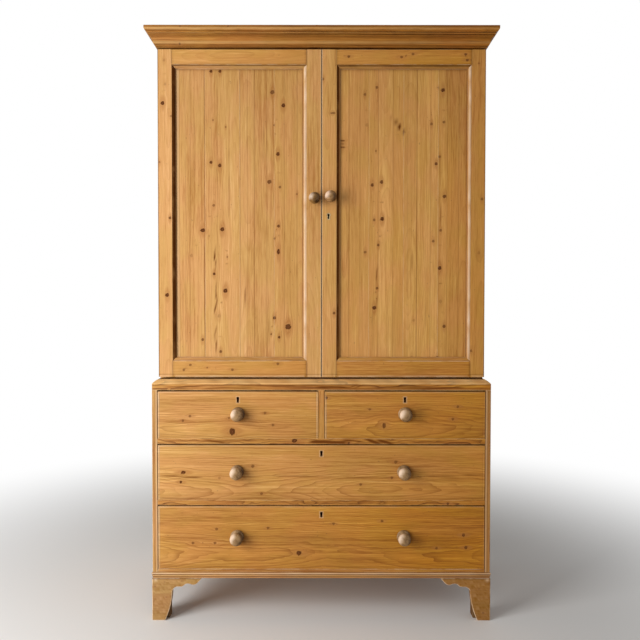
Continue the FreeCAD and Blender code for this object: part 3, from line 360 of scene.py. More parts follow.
def remember(mesh, memory, worn_faces):
    """Writes what the points and faces of a piece remember into its mesh."""
    for title, parts in memory.items():
        values = np.concatenate(parts).astype(np.float32)
        kind, field = ("FLOAT", "value") if values.ndim == 1 else ("FLOAT_VECTOR", "vector")
        mesh.attributes.new(title, kind, "POINT").data.foreach_set(field, values.ravel())
    edges = mesh.attributes.new("edge", "FLOAT", "FACE")
    edges.data.foreach_set("value", np.array(worn_faces, np.float32))


upright_board = np.array([(0.0, 0.0, 0.0), (0.4, 0.02, 1.2)])
print("an upright board has its grain along axis", axes_by_length(upright_board)[0])

# %% [markdown]
# Now the pieces can be put together. One call takes a node, softens its boards, divides them
# where they carry knots, works out what each point remembers and hangs the new piece on the
# body that the node moves with. Each board also gets a chance tone of its own, and what stands
# to the right is a little darker and warmer, because the window is on the left.

# %% Make a wooden piece from a node
ALL_KNOTS = defaultdict(list)
ALL_STREAKS = defaultdict(list)
ALL_STRIPS = defaultdict(list)
HALF_FRONT = 0.62
SHADY_SIDE = (-0.12, 0.30)      # how much paler and warmer the right end of the front is
CHANCE_TONE = (-0.1, 0.1)


def wooden_piece(node, finish, arris=0.0008, cut=None, cuts=(), tint=0.0, warmth=0.0, relief=None,
                 chance=False):
    """Makes the piece that stands for a node: its boards with worn edges, grain and knots.

    cut is how far apart the front is divided, along and across; cuts are extra places.
    relief moves the points of a board and returns how worn, grimy and streaked each one is.
    chance gives a board knots of its own."""
    vertices, faces, worn_faces = [], [], []
    memory = defaultdict(list)
    for number, board in enumerate(boards_of(node)):
        rng = random.Random("%s %d" % (node, number))
        soften(board, arris)
        points = points_of(board)
        order = axes_by_length(points)
        front = axes_of_front(points) if cut or cuts else order[:2]
        for axis, step in zip(front, cut or ()):
            divide(board, axis, evenly(points[:, axis].min(), points[:, axis].max(), step))
        for axis, place in cuts:
            if points[:, axis].min() < place < points[:, axis].max():
                divide(board, axis, [place])
        board.verts.index_update()
        points = points_of(board)
        low, high = points.min(0), points.max(0)
        knots = [knot for knot in ALL_KNOTS[node]
                 if all(low[axis] - knot[1] < knot[0][axis] < high[axis] + knot[1] for axis in front)]
        offsets, sizes = nearest_knot(points, front, knots)
        memory["grain"].append(grain_of(points, order, rng))
        memory["knot"].append(offsets)
        memory["knot_size"].append(sizes)
        marks = np.zeros((len(points), 3))
        marks[:, 2] = streaks_on(points, front, ALL_STREAKS[node])
        if relief:
            marks += relief(points)
        memory["finish"].append(marks)
        own = (tint + rng.uniform(*CHANCE_TONE), warmth + rng.uniform(*CHANCE_TONE), float(chance))
        kept = np.tile(own, (len(points), 1))
        kept[:, :2] += np.outer(points[:, X] / HALF_FRONT, SHADY_SIDE)
        kept[:, 0] += strips_on(points, ALL_STRIPS[node])
        memory["board"].append(kept)
        layer = board.faces.layers.int["worn"]
        start = sum(len(part) for part in vertices)
        for face in board.faces:
            faces.append([vertex.index + start for vertex in face.verts])
            worn_faces.append(float(face[layer]))
        vertices.append(points)
        board.free()
    mesh = bpy.data.meshes.new(node)
    mesh.from_pydata(np.concatenate(vertices).tolist(), [], faces)
    remember(mesh, memory, worn_faces)
    mesh.polygons.foreach_set("use_smooth", [True] * len(mesh.polygons))
    mesh.materials.append(finish)
    mesh.update()
    piece = stand_in("wood_" + node, mesh, node)
    keep_faces_flat(piece, keep_sharp=True)


print("wooden nodes:", sum(slot.endswith("pine") for slot in SLOT_OF.values()))

# %% [markdown]
# The finish of old pine has layers: pale early wood and dark late wood in rings that widen and
# close as the board wanders away from the heart of the tree, soft streaks, knots that the
# grain flows round like water, fine fibres, grime and painted shade in the corners, and pale
# bare wood where hands have worn the wax away, which also serves for painted highlights. An
# image of wood would repeat itself from board to board. Here the rings are worked out from what
# each point remembers, so every board is different. A small helper keeps the nodes readable.

# %% A helper that adds and joins shader nodes
class Wiring:
    """Adds nodes to one material or group, each fed by numbers or by other nodes."""

    def __init__(self, tree):
        self.tree = tree

    def add(self, kind, settings=(), **sources):
        node = self.tree.nodes.new(kind)
        for name, value in dict(settings).items():
            setattr(node, name, value)
        for name, source in sources.items():
            self.feed(node.inputs[name.replace("_", " ")], source)
        return node

    def feed(self, socket, source):
        if isinstance(source, bpy.types.NodeSocket):
            self.tree.links.new(source, socket)
        else:
            socket.default_value = source

    def math(self, operation, *sources, clamp=False):
        node = self.add("ShaderNodeMath", {"operation": operation, "use_clamp": clamp})
        for socket, source in zip(node.inputs, sources):
            self.feed(socket, source)
        return node.outputs[0]

    def vector_math(self, operation, *sources):
        node = self.add("ShaderNodeVectorMath", {"operation": operation})
        for socket, source in zip(node.inputs, sources):
            self.feed(socket, source)
        return node

    def remembered(self, title):
        return self.add("ShaderNodeAttribute", {"attribute_name": title})

    def parts(self, vector):
        node = self.add("ShaderNodeSeparateXYZ", Vector=vector)
        return node.outputs[0], node.outputs[1], node.outputs[2]

    def stretched(self, vector, along, across, through):
        return self.vector_math("MULTIPLY", vector, (along, across, through)).outputs[0]

    def joined(self, x, y, z):
        return self.add("ShaderNodeCombineXYZ", X=x, Y=y, Z=z).outputs[0]

    def noise(self, vector, detail=2.0, roughness=0.5, scale=1.0):
        node = self.add("ShaderNodeTexNoise", Vector=vector, Scale=scale, Detail=detail, Roughness=roughness)
        return node.outputs["Fac"]

    def fade(self, value, low, high):
        """0 below low, 1 above high and smooth between them; the other way round if low is higher."""
        node = self.add("ShaderNodeMapRange", {"interpolation_type": "SMOOTHSTEP"}, Value=value)
        ends = (low, high, 0.0, 1.0) if low < high else (high, low, 1.0, 0.0)
        for socket, end in zip(node.inputs[1:5], ends):
            socket.default_value = end
        return node.outputs[0]

    def mix(self, share, one, two, blend="MIX"):
        node = self.add("ShaderNodeMix", {"data_type": "RGBA", "blend_type": blend})
        for index, source in ((0, share), (6, one), (7, two)):
            self.feed(node.inputs[index], source)
        return node.outputs[2]


def new_finish(name):
    """An empty material, its main shader, and the wiring for its other nodes."""
    material = bpy.data.materials.new(name)
    material.use_nodes = True
    return material, material.node_tree.nodes["Principled BSDF"], Wiring(material.node_tree)


print("the helper can:", ", ".join(name for name in vars(Wiring) if not name.startswith("_")))

# %% [markdown]
# A front has its knots laid out one by one. A board that nobody looks at closely gets knots by
# chance: the wood is divided into long cells, and the luck of a cell says whether there is a
# knot in it and how large it is. Both kinds are given in the same way, so one wood fits all.

# %% Knots by chance
CHANCE_CELL = (0.36, 0.16)   # along and across, in metres
CHANCE_RADIUS = 0.0025
CHANCE_GROWTH = 0.0075
NO_KNOT_BELOW = 0.45
CHANCE_STRENGTH = 0.85


def chance_knot(w, along, across):
    """The offset from the knot of this cell in radii, its strength and radius, and the cell's luck."""
    place = w.joined(w.math("DIVIDE", along, CHANCE_CELL[0]), w.math("DIVIDE", across, CHANCE_CELL[1]), 0.0)
    cell = w.add("ShaderNodeTexVoronoi", {"voronoi_dimensions": "2D"}, Vector=place, Scale=1.0)
    luck, size_luck, _ = w.parts(cell.outputs["Color"])
    cell_a, cell_b, _ = w.parts(w.vector_math("SUBTRACT", place, cell.outputs["Position"]).outputs[0])
    radius = w.math("MULTIPLY_ADD", w.math("POWER", size_luck, 2.0), CHANCE_GROWTH, CHANCE_RADIUS)
    a = w.math("DIVIDE", w.math("MULTIPLY", cell_a, CHANCE_CELL[0]), radius)
    b = w.math("DIVIDE", w.math("MULTIPLY", cell_b, CHANCE_CELL[1]), radius)
    strength = w.math("MULTIPLY", w.math("GREATER_THAN", luck, NO_KNOT_BELOW), CHANCE_STRENGTH)
    return (a, b, strength, radius), luck


def either(w, placed, by_chance, chance):
    """The placed value on a front, and the one by chance on other boards."""
    kept = w.math("MULTIPLY", placed, w.math("SUBTRACT", 1.0, chance))
    return w.math("MULTIPLY_ADD", by_chance, chance, kept)


print("a knot by chance is at most %.0f mm wide" % (2000 * (CHANCE_RADIUS + CHANCE_GROWTH)))

# %% [markdown]
# Growth rings are circles round the heart of the tree. How far a point lies from the heart,
# divided by the width of a ring, counts the rings; the part after the decimal point says where
# in its ring the point is, and its third power is a line that darkens slowly and ends at once,
# as late wood does. Round a knot the distance across the board is bent first, by the same rule
# by which a stream flows round a post.

# %% Growth rings that flow round knots
# the flow round a knot: how long its oval is, how blunt its middle and how hard it pushes
KNOT_LONG = 0.36
KNOT_CORE = 0.3
KNOT_PUSH = 1.3
# how often a pattern changes in a metre: along, across and through the board
WANDER = (1.1, 5.0, 5.0)
DRIFT = (0.8, 2.0, 2.0)
DRIFT_SCALE = 1.7
LICK = (9.0, 28.0, 28.0)
WOBBLE = (4.0, 38.0, 38.0)
# how far each of them shifts the heart of the tree, in metres, and the rings, in rings
WANDER_REACH = 0.035
DRIFT_REACH = 0.09
LICK_ACROSS = 0.03
LICK_THROUGH = 0.05
WOBBLE_REACH = 0.8
RING_FADE = 3.0
FAINT_RING = 0.2


def flow_round(w, across, a, b, strength, radius):
    """How far across the grain is after it has flowed round a knot, and the oval round that knot."""
    oval = w.math("ADD", w.math("POWER", w.math("MULTIPLY", a, KNOT_LONG), 2.0), w.math("POWER", b, 2.0))
    push = w.math("DIVIDE", b, w.math("ADD", oval, KNOT_CORE))
    bend = w.math("MULTIPLY", w.math("MULTIPLY", push, radius), w.math("MULTIPLY", strength, KNOT_PUSH))
    return w.math("SUBTRACT", across, bend), oval


def late_wood(w, grain, flow, flowing, through, flame, ring_width):
    """The dark line at the end of each ring, and the wobble that the streaks share with it."""
    wander = w.math("SUBTRACT", w.noise(w.stretched(grain, *WANDER), 1.0), 0.5)
    drift = w.math("SUBTRACT", w.noise(w.stretched(grain, *DRIFT), 1.0, scale=DRIFT_SCALE), 0.5)
    lick = w.math("SUBTRACT", w.noise(w.stretched(grain, *LICK), 2.0), 0.5)
    side = w.math("MULTIPLY_ADD", wander, WANDER_REACH, flowing)
    side = w.math("MULTIPLY_ADD", w.math("MULTIPLY", lick, flame), LICK_ACROSS, side)
    depth = w.math("MULTIPLY_ADD", drift, DRIFT_REACH, through)
    depth = w.math("MULTIPLY_ADD", w.math("MULTIPLY", lick, flame), LICK_THROUGH, depth)
    to_heart = w.math("SQRT", w.math("ADD", w.math("POWER", side, 2.0), w.math("POWER", depth, 2.0)))
    wobble = w.noise(w.stretched(flow, *WOBBLE), 2.0)
    rings = w.math("ADD", w.math("DIVIDE", to_heart, ring_width), w.math("MULTIPLY", wobble, WOBBLE_REACH))
    late = w.math("POWER", w.math("FRACT", rings), RING_FADE)
    which = w.add("ShaderNodeTexWhiteNoise", {"noise_dimensions": "1D"}, W=w.math("FLOOR", rings))
    seen = w.math("MULTIPLY_ADD", which.outputs["Value"], 1 - FAINT_RING, FAINT_RING)
    return w.math("MULTIPLY", late, seen), wobble


print("every ring shows with at least a share of", FAINT_RING)

# %% [markdown]
# Between the rings the wood is full of finer things: streaks, thin lines, short dashes of resin,
# fibres and pores. They are all the same thing at another scale, a noise that is drawn out along
# the grain. Together they make one tone, and the tone picks a colour between deep and pale.

# %% Fibres and tone
# for each pattern: how often it changes in a metre along and across, its detail and roughness
PATTERNS = {
    "streak": (1.3, 60.0, 3.0, 0.6),
    "line": (2.6, 185.0, 2.0, 0.6),
    "dash": (15.0, 250.0, 1.0, 0.5),
    "soft": (1.8, 9.0, 2.0, 0.5),
    "fibre": (12.0, 640.0, 2.0, 0.5),
    "pores": (45.0, 900.0, 1.0, 0.5),
}
PATTERN_WEIGHTS = (("line", 0.25), ("dash", 0.6), ("soft", 0.9), ("fibre", 0.6), ("pores", 0.4))
TINT_SHARE = 0.5


def patterns_along(w, flow):
    """All the patterns that run with the grain."""
    return {title: w.noise(w.stretched(flow, along, across, across), detail, roughness)
            for title, (along, across, detail, roughness) in PATTERNS.items()}


def tone_of(w, patterns, tint, streaks):
    """How pale the wood is, from about 0 to 1."""
    def shifted(total, value, weight):
        return w.math("MULTIPLY_ADD", w.math("SUBTRACT", value, 0.5), weight, total)

    tone = shifted(w.math("MULTIPLY_ADD", tint, TINT_SHARE, 0.5), patterns["streak"], streaks)
    tone = shifted(tone, patterns["line"], streaks)
    for title, weight in PATTERN_WEIGHTS:
        tone = shifted(tone, patterns[title], weight)
    return tone


print("patterns in the wood:", ", ".join(PATTERNS))

# %% [markdown]
# A knot is a branch seen end on. It has rings of its own, a dark rim of bark, a crooked outline
# and a brown halo of resin. A dark disc would look like a hole, so each of these is its own
# colour here, and an uneven dent in the distance keeps the outline from being a circle.

# %% Colours of a knot
HALO_BROWN = (0.38, 0.15, 0.036, 1)
KNOT_DARK = (0.085, 0.026, 0.009, 1)
KNOT_RED = (0.20, 0.075, 0.026, 1)
KNOT_RIM = (0.066, 0.020, 0.006, 1)
HALO_SHARE = 0.55
DENT_SCALE = 1.4
DENT_DEPTH = 1.2
KNOT_RINGS = 13.0


def with_knot(w, colour, a, b, strength, oval, luck):
    """The colour of the wood with its knot laid over it, and how far a point is in the knot."""
    halo = w.math("MULTIPLY", w.fade(oval, 4.0, 0.5), w.math("MULTIPLY", strength, HALO_SHARE))
    colour = w.mix(halo, colour, HALO_BROWN)
    dent = w.math("SUBTRACT", w.noise(w.joined(a, b, luck), 2.0, scale=DENT_SCALE), 0.5)
    round_off = w.math("SQRT", w.math("ADD", w.math("POWER", a, 2.0), w.math("POWER", b, 2.0)))
    in_knot = w.math("MULTIPLY_ADD", dent, DENT_DEPTH, round_off)
    dark = w.math("MULTIPLY", w.math("POWER", w.math("MAXIMUM", strength, 0.0), 1.6), 1.15)
    heart = w.math("MULTIPLY", w.fade(in_knot, 1.25, 0.8), dark, clamp=True)
    knot_rings = w.math("SINE", w.math("MULTIPLY", in_knot, KNOT_RINGS))
    knot_colour = w.mix(w.fade(knot_rings, -0.6, 0.9), KNOT_DARK, KNOT_RED)
    rim = w.math("MULTIPLY", w.fade(in_knot, 0.45, 0.85), 0.85)
    knot_colour = w.mix(rim, knot_colour, KNOT_RIM)
    return w.mix(heart, colour, knot_colour), heart


print("rings from the middle of a knot to its rim: %.0f" % (KNOT_RINGS / math.tau))

# %% [markdown]
# Last come the marks of use, and the painted light that rides on them. Wax turns the wood amber,
# dust makes specks, dark corners get painted shade in the black of old wax, and where the wax is
# rubbed away the bare wood shows, which also serves for painted highlights. Dirt, painted shade,
# knots and dark lines don't shine: if they did, a grey veil would lie over them.

# %% The whole wood, as one group of nodes
AMBER = (0.80, 0.62, 0.14, 1)
OLIVE = (0.98, 1.0, 0.93, 1)
ROSY = (1.02, 0.975, 1.03, 1)
RESIN_BROWN = (0.15, 0.045, 0.008, 1)
SPECK_BROWN = (0.12, 0.05, 0.02, 1)
# the black of old wax and dirt, also used for painted shade
WAX_AND_SHADE_BLACK = (0.075, 0.022, 0.004, 1)
BLUSH = (7.0, 16.0, 16.0)
PATINA = (14.0, 22.0, 22.0)
SPECKS = (90.0, 130.0, 130.0)
SPECK_SHARE = 0.35
BARE_SHARE = 0.75
WAX_SHINE = 0.2
GROUP_COLOURS = ("Pale", "Body", "Deep", "Late wood", "Bare")
GROUP_AMOUNTS = ("Wax", "Streaks", "Figure", "Flame", "Ring width")


def pine_grain():
    """A group that turns what a point remembers into colour, roughness, shine and height."""
    group = bpy.data.node_groups.new("pine grain", "ShaderNodeTree")
    for title in GROUP_COLOURS:
        group.interface.new_socket(title, in_out="INPUT", socket_type="NodeSocketColor")
    for title in GROUP_AMOUNTS:
        group.interface.new_socket(title, in_out="INPUT", socket_type="NodeSocketFloat")
    group.interface.new_socket("Color", in_out="OUTPUT", socket_type="NodeSocketColor")
    for title in ("Roughness", "Shine", "Height"):
        group.interface.new_socket(title, in_out="OUTPUT", socket_type="NodeSocketFloat")
    w = Wiring(group)
    given = w.add("NodeGroupInput").outputs
    grain = w.remembered("grain").outputs["Vector"]
    along, across, through = w.parts(grain)
    placed_a, placed_b, placed_strength = w.parts(w.remembered("knot").outputs["Vector"])
    placed = (placed_a, placed_b, placed_strength, w.remembered("knot_size").outputs["Fac"])
    tint, warmth, chance = w.parts(w.remembered("board").outputs["Vector"])
    wear, grime, streaked = w.parts(w.remembered("finish").outputs["Vector"])
    edge = w.remembered("edge").outputs["Fac"]

    lucky, luck = chance_knot(w, along, across)
    a, b, strength, radius = [either(w, one, two, chance) for one, two in zip(placed, lucky)]
    flowing, oval = flow_round(w, across, a, b, strength, radius)
    flow = w.joined(along, flowing, through)
    late, wobble = late_wood(w, grain, flow, flowing, through, given["Flame"], given["Ring width"])
    patterns = patterns_along(w, flow)
    soft, fibre = patterns["soft"], patterns["fibre"]

    tone = tone_of(w, patterns, tint, given["Streaks"])
    colour = w.mix(w.fade(tone, 0.0, 0.5), given["Deep"], given["Body"])
    colour = w.mix(w.fade(tone, 0.5, 1.0), colour, given["Pale"])
    colour = w.mix(w.math("MULTIPLY", late, given["Figure"]), colour, given["Late wood"])
    warm = w.math("MULTIPLY_ADD", w.math("SUBTRACT", soft, 0.5), 0.6, warmth, clamp=True)
    colour = w.mix(warm, colour, AMBER, "MULTIPLY")
    blush = w.noise(w.stretched(grain, *BLUSH), 1.0)
    colour = w.mix(1.0, colour, w.mix(w.fade(blush, 0.36, 0.64), OLIVE, ROSY), "MULTIPLY")
    dark_line = w.math("MULTIPLY", streaked, w.math("MULTIPLY_ADD", wobble, 1.2, 0.2), clamp=True)
    colour = w.mix(dark_line, colour, RESIN_BROWN)
    colour, heart = with_knot(w, colour, a, b, strength, oval, luck)

    patina = w.noise(w.stretched(grain, *PATINA), 3.0, 0.6)
    specks = w.fade(w.noise(w.stretched(grain, *SPECKS), 1.0), 0.73, 0.79)
    colour = w.mix(w.math("MULTIPLY", specks, SPECK_SHARE), colour, SPECK_BROWN)
    worn = w.math("ADD", w.math("MULTIPLY", edge, w.fade(patina, 0.34, 0.6)), wear, clamp=True)
    bare = w.math("MULTIPLY", worn, given["Wax"])
    colour = w.mix(w.math("MULTIPLY", bare, BARE_SHARE), colour, given["Bare"])
    # grime carries real dirt and also the painted shade of corners, gaps and hollows
    dull = w.math("MULTIPLY", grime, w.math("MULTIPLY_ADD", patina, 0.8, 0.6), clamp=True)
    colour = w.mix(dull, colour, WAX_AND_SHADE_BLACK)

    matt = w.math("MAXIMUM", dull, w.math("MAXIMUM", heart, dark_line))
    shine = w.math("MULTIPLY_ADD", matt, -WAX_SHINE, WAX_SHINE)
    gloss = w.math("MULTIPLY_ADD", soft, 0.22, 0.40)
    gloss = w.math("MULTIPLY_ADD", bare, 0.2, gloss)
    gloss = w.math("MULTIPLY_ADD", w.math("SUBTRACT", 1.0, given["Wax"]), 0.3, gloss, clamp=True)
    height = w.math("MULTIPLY_ADD", fibre, 0.35, w.math("MULTIPLY", late, -0.5))
    for value, weight in ((soft, 1.3), (heart, -0.6), (dark_line, -0.6)):
        height = w.math("MULTIPLY_ADD", value, weight, height)
    made = w.add("NodeGroupOutput")
    for title, source in (("Color", colour), ("Roughness", gloss), ("Shine", shine), ("Height", height)):
        w.feed(made.inputs[title], source)
    return group


PINE = pine_grain()
print("pine grain:", len(PINE.nodes), "nodes")

# %% [markdown]
# A finish is then only a set of colours: the wood of the doors has turned to honey, the
# cornice is browner, and the insides have never seen wax and stay dull.

# %% Finishes
BARE = (0.82, 0.62, 0.41)
FINE_DEPTH = 0.0006
FINE_STRENGTH = 0.5
HONEY = ((0.76, 0.45, 0.185), (0.60, 0.32, 0.105), (0.42, 0.185, 0.045), (0.36, 0.15, 0.035))


def pine_finish(name, pale, body, deep, late, wax=1.0, streaks=1.0, figure=0.5, flame=0.0, ring=0.005,
                bare=BARE):
    """A material that feeds its colours to the grain."""
    material, shader, w = new_finish(name)
    grain = w.add("ShaderNodeGroup", {"node_tree": PINE})
    for title, value in zip(GROUP_COLOURS, (pale, body, deep, late, bare)):
        grain.inputs[title].default_value = (*value, 1)
    for title, value in zip(GROUP_AMOUNTS, (wax, streaks, figure, flame, ring)):
        grain.inputs[title].default_value = value
    bump = w.add("ShaderNodeBump", Strength=FINE_STRENGTH, Distance=FINE_DEPTH,
                 Height=grain.outputs["Height"])
    w.feed(shader.inputs["Base Color"], grain.outputs["Color"])
    w.feed(shader.inputs["Roughness"], grain.outputs["Roughness"])
    w.feed(shader.inputs["Normal"], bump.outputs[0])
    w.feed(shader.inputs["Specular IOR Level"], grain.outputs["Shine"])
    return material


DOOR_PINE = pine_finish("honey pine", *HONEY, streaks=0.5, figure=0.3, ring=0.0055)
# its bare colour is also the painted highlight on the right lengths of the mouldings
MOULDING_PINE = pine_finish("rubbed and highlit pine", *HONEY, streaks=0.5, figure=0.3, bare=(0.80, 0.60, 0.42))
DRAWER_PINE = pine_finish("drawer pine", (0.77, 0.45, 0.175), (0.58, 0.30, 0.09), (0.36, 0.155, 0.033),
                          (0.28, 0.105, 0.018), streaks=0.8, figure=0.8, flame=0.2, ring=0.0055)
RAIL_PINE = pine_finish("flamed pine", (0.72, 0.40, 0.13), (0.50, 0.235, 0.06), (0.30, 0.115, 0.022),
                        (0.13, 0.04, 0.005), streaks=1.3, figure=1.2, flame=1.6, ring=0.012,
                        bare=(1.0, 0.64, 0.27))
CORNICE_PINE = pine_finish("brown pine", (0.54, 0.26, 0.060), (0.40, 0.17, 0.032), (0.25, 0.10, 0.014),
                           (0.19, 0.07, 0.011), streaks=1.0, figure=0.5, flame=0.3, ring=0.007,
                           bare=(0.68, 0.43, 0.17))
SIDE_PINE = pine_finish("carcass pine", (0.66, 0.38, 0.14), (0.50, 0.25, 0.075), (0.31, 0.125, 0.028),
                        (0.30, 0.115, 0.026), streaks=1.4, figure=0.5, ring=0.0055)
FOOT_PINE = pine_finish("foot pine", (0.52, 0.32, 0.125), (0.42, 0.225, 0.075), (0.32, 0.15, 0.038),
                        (0.30, 0.135, 0.034), streaks=0.5, figure=0.25, flame=0.8, ring=0.011,
                        bare=(0.95, 0.72, 0.48))
BARE_PINE = pine_finish("bare pine", (0.70, 0.52, 0.32), (0.56, 0.38, 0.21), (0.38, 0.22, 0.10),
                        (0.40, 0.24, 0.11), wax=0.15, streaks=1.6)
print("finishes:", len(bpy.data.materials))

# %% [markdown]
# Knots are what make pine look like pine, so the ones on the front are laid out one by one.
# Each is given by its point on the front view, its radius across the board in millimetres and
# its strength. Where a knot isn't about as long as it is wide, a fifth number says how long it
# is along the board. The three very flat ones on the right panel are short cracks side by side.

# %% Knots of the doors and drawers
KNOT_POINTS = {
    "left_door_stiles": [(164, 60, 5, 0.4), (165, 84, 5, 0.4), (162.6, 103, 7, 0.95), (171, 116, 4, 0.6),
                         (159.5, 162, 4, 0.6), (170, 217.8, 5, 0.85), (167.2, 294.9, 7, 0.95)],
    "left_door_panel": [(211, 71.2, 5.5, 0.9), (220, 71.2, 5.5, 0.9), (272.5, 92, 8, 0.78),
                        (283.4, 105.4, 7, 0.95), (274, 125, 3, 0.7), (225.7, 127, 3, 0.7),
                        (213, 120, 3, 0.7), (278, 154, 6.5, 0.9), (211, 162.3, 5.5, 0.9),
                        (219.8, 165.5, 6.5, 0.9), (269.5, 181.7, 7.5, 0.82), (280, 187, 5, 0.7),
                        (297, 194, 4, 0.6), (213.8, 205.2, 5, 0.7), (202.9, 230.2, 9, 1.0, 0.72),
                        (222.4, 229.1, 7.5, 1.0), (208.9, 235.8, 3, 0.8), (278.6, 226, 5.5, 0.85),
                        (274.7, 238.5, 4, 0.7), (278.5, 251.5, 5.5, 1.0, 1.7), (227.3, 256.9, 3, 0.7),
                        (191.5, 255.5, 6, 0.4), (214.3, 273.8, 5, 0.95), (225.5, 290.6, 8, 1.0),
                        (219.2, 316, 6, 0.4), (274.5, 317.9, 5.5, 0.9), (288.3, 326.9, 11, 0.9, 0.8),
                        (271.2, 334.2, 3, 0.8), (279.3, 337.2, 5, 0.9), (202.7, 339.6, 5, 0.8),
                        (220.8, 351.6, 5, 0.8)],
    "left_door_rails": [(190.5, 364.9, 5, 0.7), (184, 369.7, 5, 0.7), (207.3, 367.6, 3, 0.7),
                        (232.4, 369.7, 5, 0.7), (277.9, 363.8, 5, 0.7)],
    "right_door_rails": [(348.8, 56.5, 5, 0.8), (401.7, 57, 5, 0.7), (413, 54, 5, 0.7), (465.8, 54.4, 5, 0.8),
                         (467.4, 60.0, 5, 0.8)],
    "right_door_stiles": [(323, 79, 5, 0.7), (340.2, 275.8, 5, 0.4), (334.1, 313.1, 5, 0.8),
                          (482, 199, 5, 0.7), (333, 113, 11, 0.8, 0.22), (479, 252.9, 5, 0.4),
                          (471.4, 350.6, 5, 0.7), (479, 63.2, 4, 0.6, 0.5), (473.6, 352.8, 3, 0.5)],
    "right_door_panel": [(377, 87.4, 5, 0.7), (365, 94.4, 5, 0.7), (443, 90, 7, 0.95), (367, 125, 6, 0.4),
                         (431.6, 124, 5, 0.7), (444, 122, 5, 0.7), (376, 151, 3, 0.7), (439.6, 156.6, 5, 0.7),
                         (342.3, 140.8, 11, 0.95, 0.14), (342.3, 143.8, 10, 0.85, 0.14),
                         (342.3, 147.2, 11, 0.9, 0.14), (438.5, 87.5, 5, 0.5, 0.5),
                         (436.2, 163.8, 5.5, 0.85), (372.3, 185, 6, 0.85), (381.6, 182, 6.5, 0.85),
                         (444.6, 196.3, 6.5, 0.85), (382.2, 218.9, 7, 0.95), (374.2, 219.9, 5, 0.7),
                         (440.7, 230.2, 5, 0.7), (433.3, 241.1, 5, 0.7), (378.3, 245, 5, 0.8),
                         (365.2, 252.1, 5, 0.7),
                         (439.7, 267.9, 7, 0.95), (377.1, 288.1, 5, 0.8), (440.5, 301.3, 6, 0.4),
                         (374.4, 307.7, 7, 0.95), (413.7, 320.2, 5, 0.4), (444.1, 326.3, 6, 0.8),
                         (411.6, 356.9, 5, 0.4), (437.1, 357.4, 5, 0.7)],
    "top_left_drawer_front": [(265, 413, 5, 0.7), (273, 425, 5, 0.7), (232.3, 431.5, 14, 0.92, 0.68),
                              (190, 416, 5, 0.7), (183, 420.6, 5, 0.7), (229, 418, 4, 0.7)],
    "top_right_drawer_front": [(326.6, 397.8, 5.5, 0.9, 0.7), (369.8, 409.3, 4, 0.7, 1.2),
                               (384.1, 425.6, 11, 0.82, 0.5), (458, 406.6, 5, 0.7), (453, 419, 5, 0.7)],
    "drawer_rails": [(294.7, 440.6, 7, 1.0, 1.3), (348.8, 443, 4, 0.9), (448, 503.7, 5, 0.8)],
    "middle_drawer_front": [(253, 466, 6, 0.7), (183.6, 472.4, 6.5, 1.0, 1.25), (182.2, 475.5, 2.5, 0.8),
                            (181, 482, 5, 0.95), (219.6, 477.8, 5, 0.45), (261.5, 493.6, 5, 0.7),
                            (396, 462, 6, 0.7), (392, 477.7, 5, 0.7), (360.7, 484.5, 5, 0.7)],
    "bottom_drawer_front": [(216.6, 529, 5, 0.7), (268, 528, 5, 0.7), (193, 543, 5, 0.7), (215, 543, 5, 0.7),
                            (299, 553, 9, 0.9), (333.6, 523.7, 5, 0.7), (382, 521, 5, 0.7),
                            (463.6, 535, 6, 0.8), (466, 547.5, 6, 0.8), (436.6, 548, 5, 0.7)],
    "cornice": [(180, 26, 3, 0.7), (178, 40.2, 3.5, 0.9), (228, 26, 3, 0.7)],
    "bracket_feet": [(155, 586.5, 3, 0.6), (154, 601, 3, 0.5), (166, 597.3, 3, 0.5), (182, 581, 3, 0.4),
                     (164.5, 582, 3, 0.4), (483, 613, 4, 0.6), (479, 589, 3, 0.4)],
}
MILLIMETRE = 0.001
KNOT_LENGTH = 0.95   # of a usual knot, where its width is 1


def face_of(node):
    """How far forward the face of a node lies."""
    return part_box(node)[0][1]


for node, points in KNOT_POINTS.items():
    for right, down, radius, strength, *length in points:
        place = on_front(right, down, face_of(node))
        ALL_KNOTS[node].append((place, radius * MILLIMETRE, strength, length[0] if length else KNOT_LENGTH))
print("knots on the front:", sum(len(knots) for knots in ALL_KNOTS.values()))

# %% [markdown]
# The boards of a panel meet in thin dark lines that run straight down, and the strip between
# two lines is paler or darker than its neighbour. Each line is given by how far right it lies
# on the front view and by its strength. Longer wavy streaks and the flames of the rails follow
# the grain. They are given by their two ends, their half width in millimetres and their
# strength. A panel is also cut close together by its lines and by its short cracks, because
# only a point can remember how dark it is.

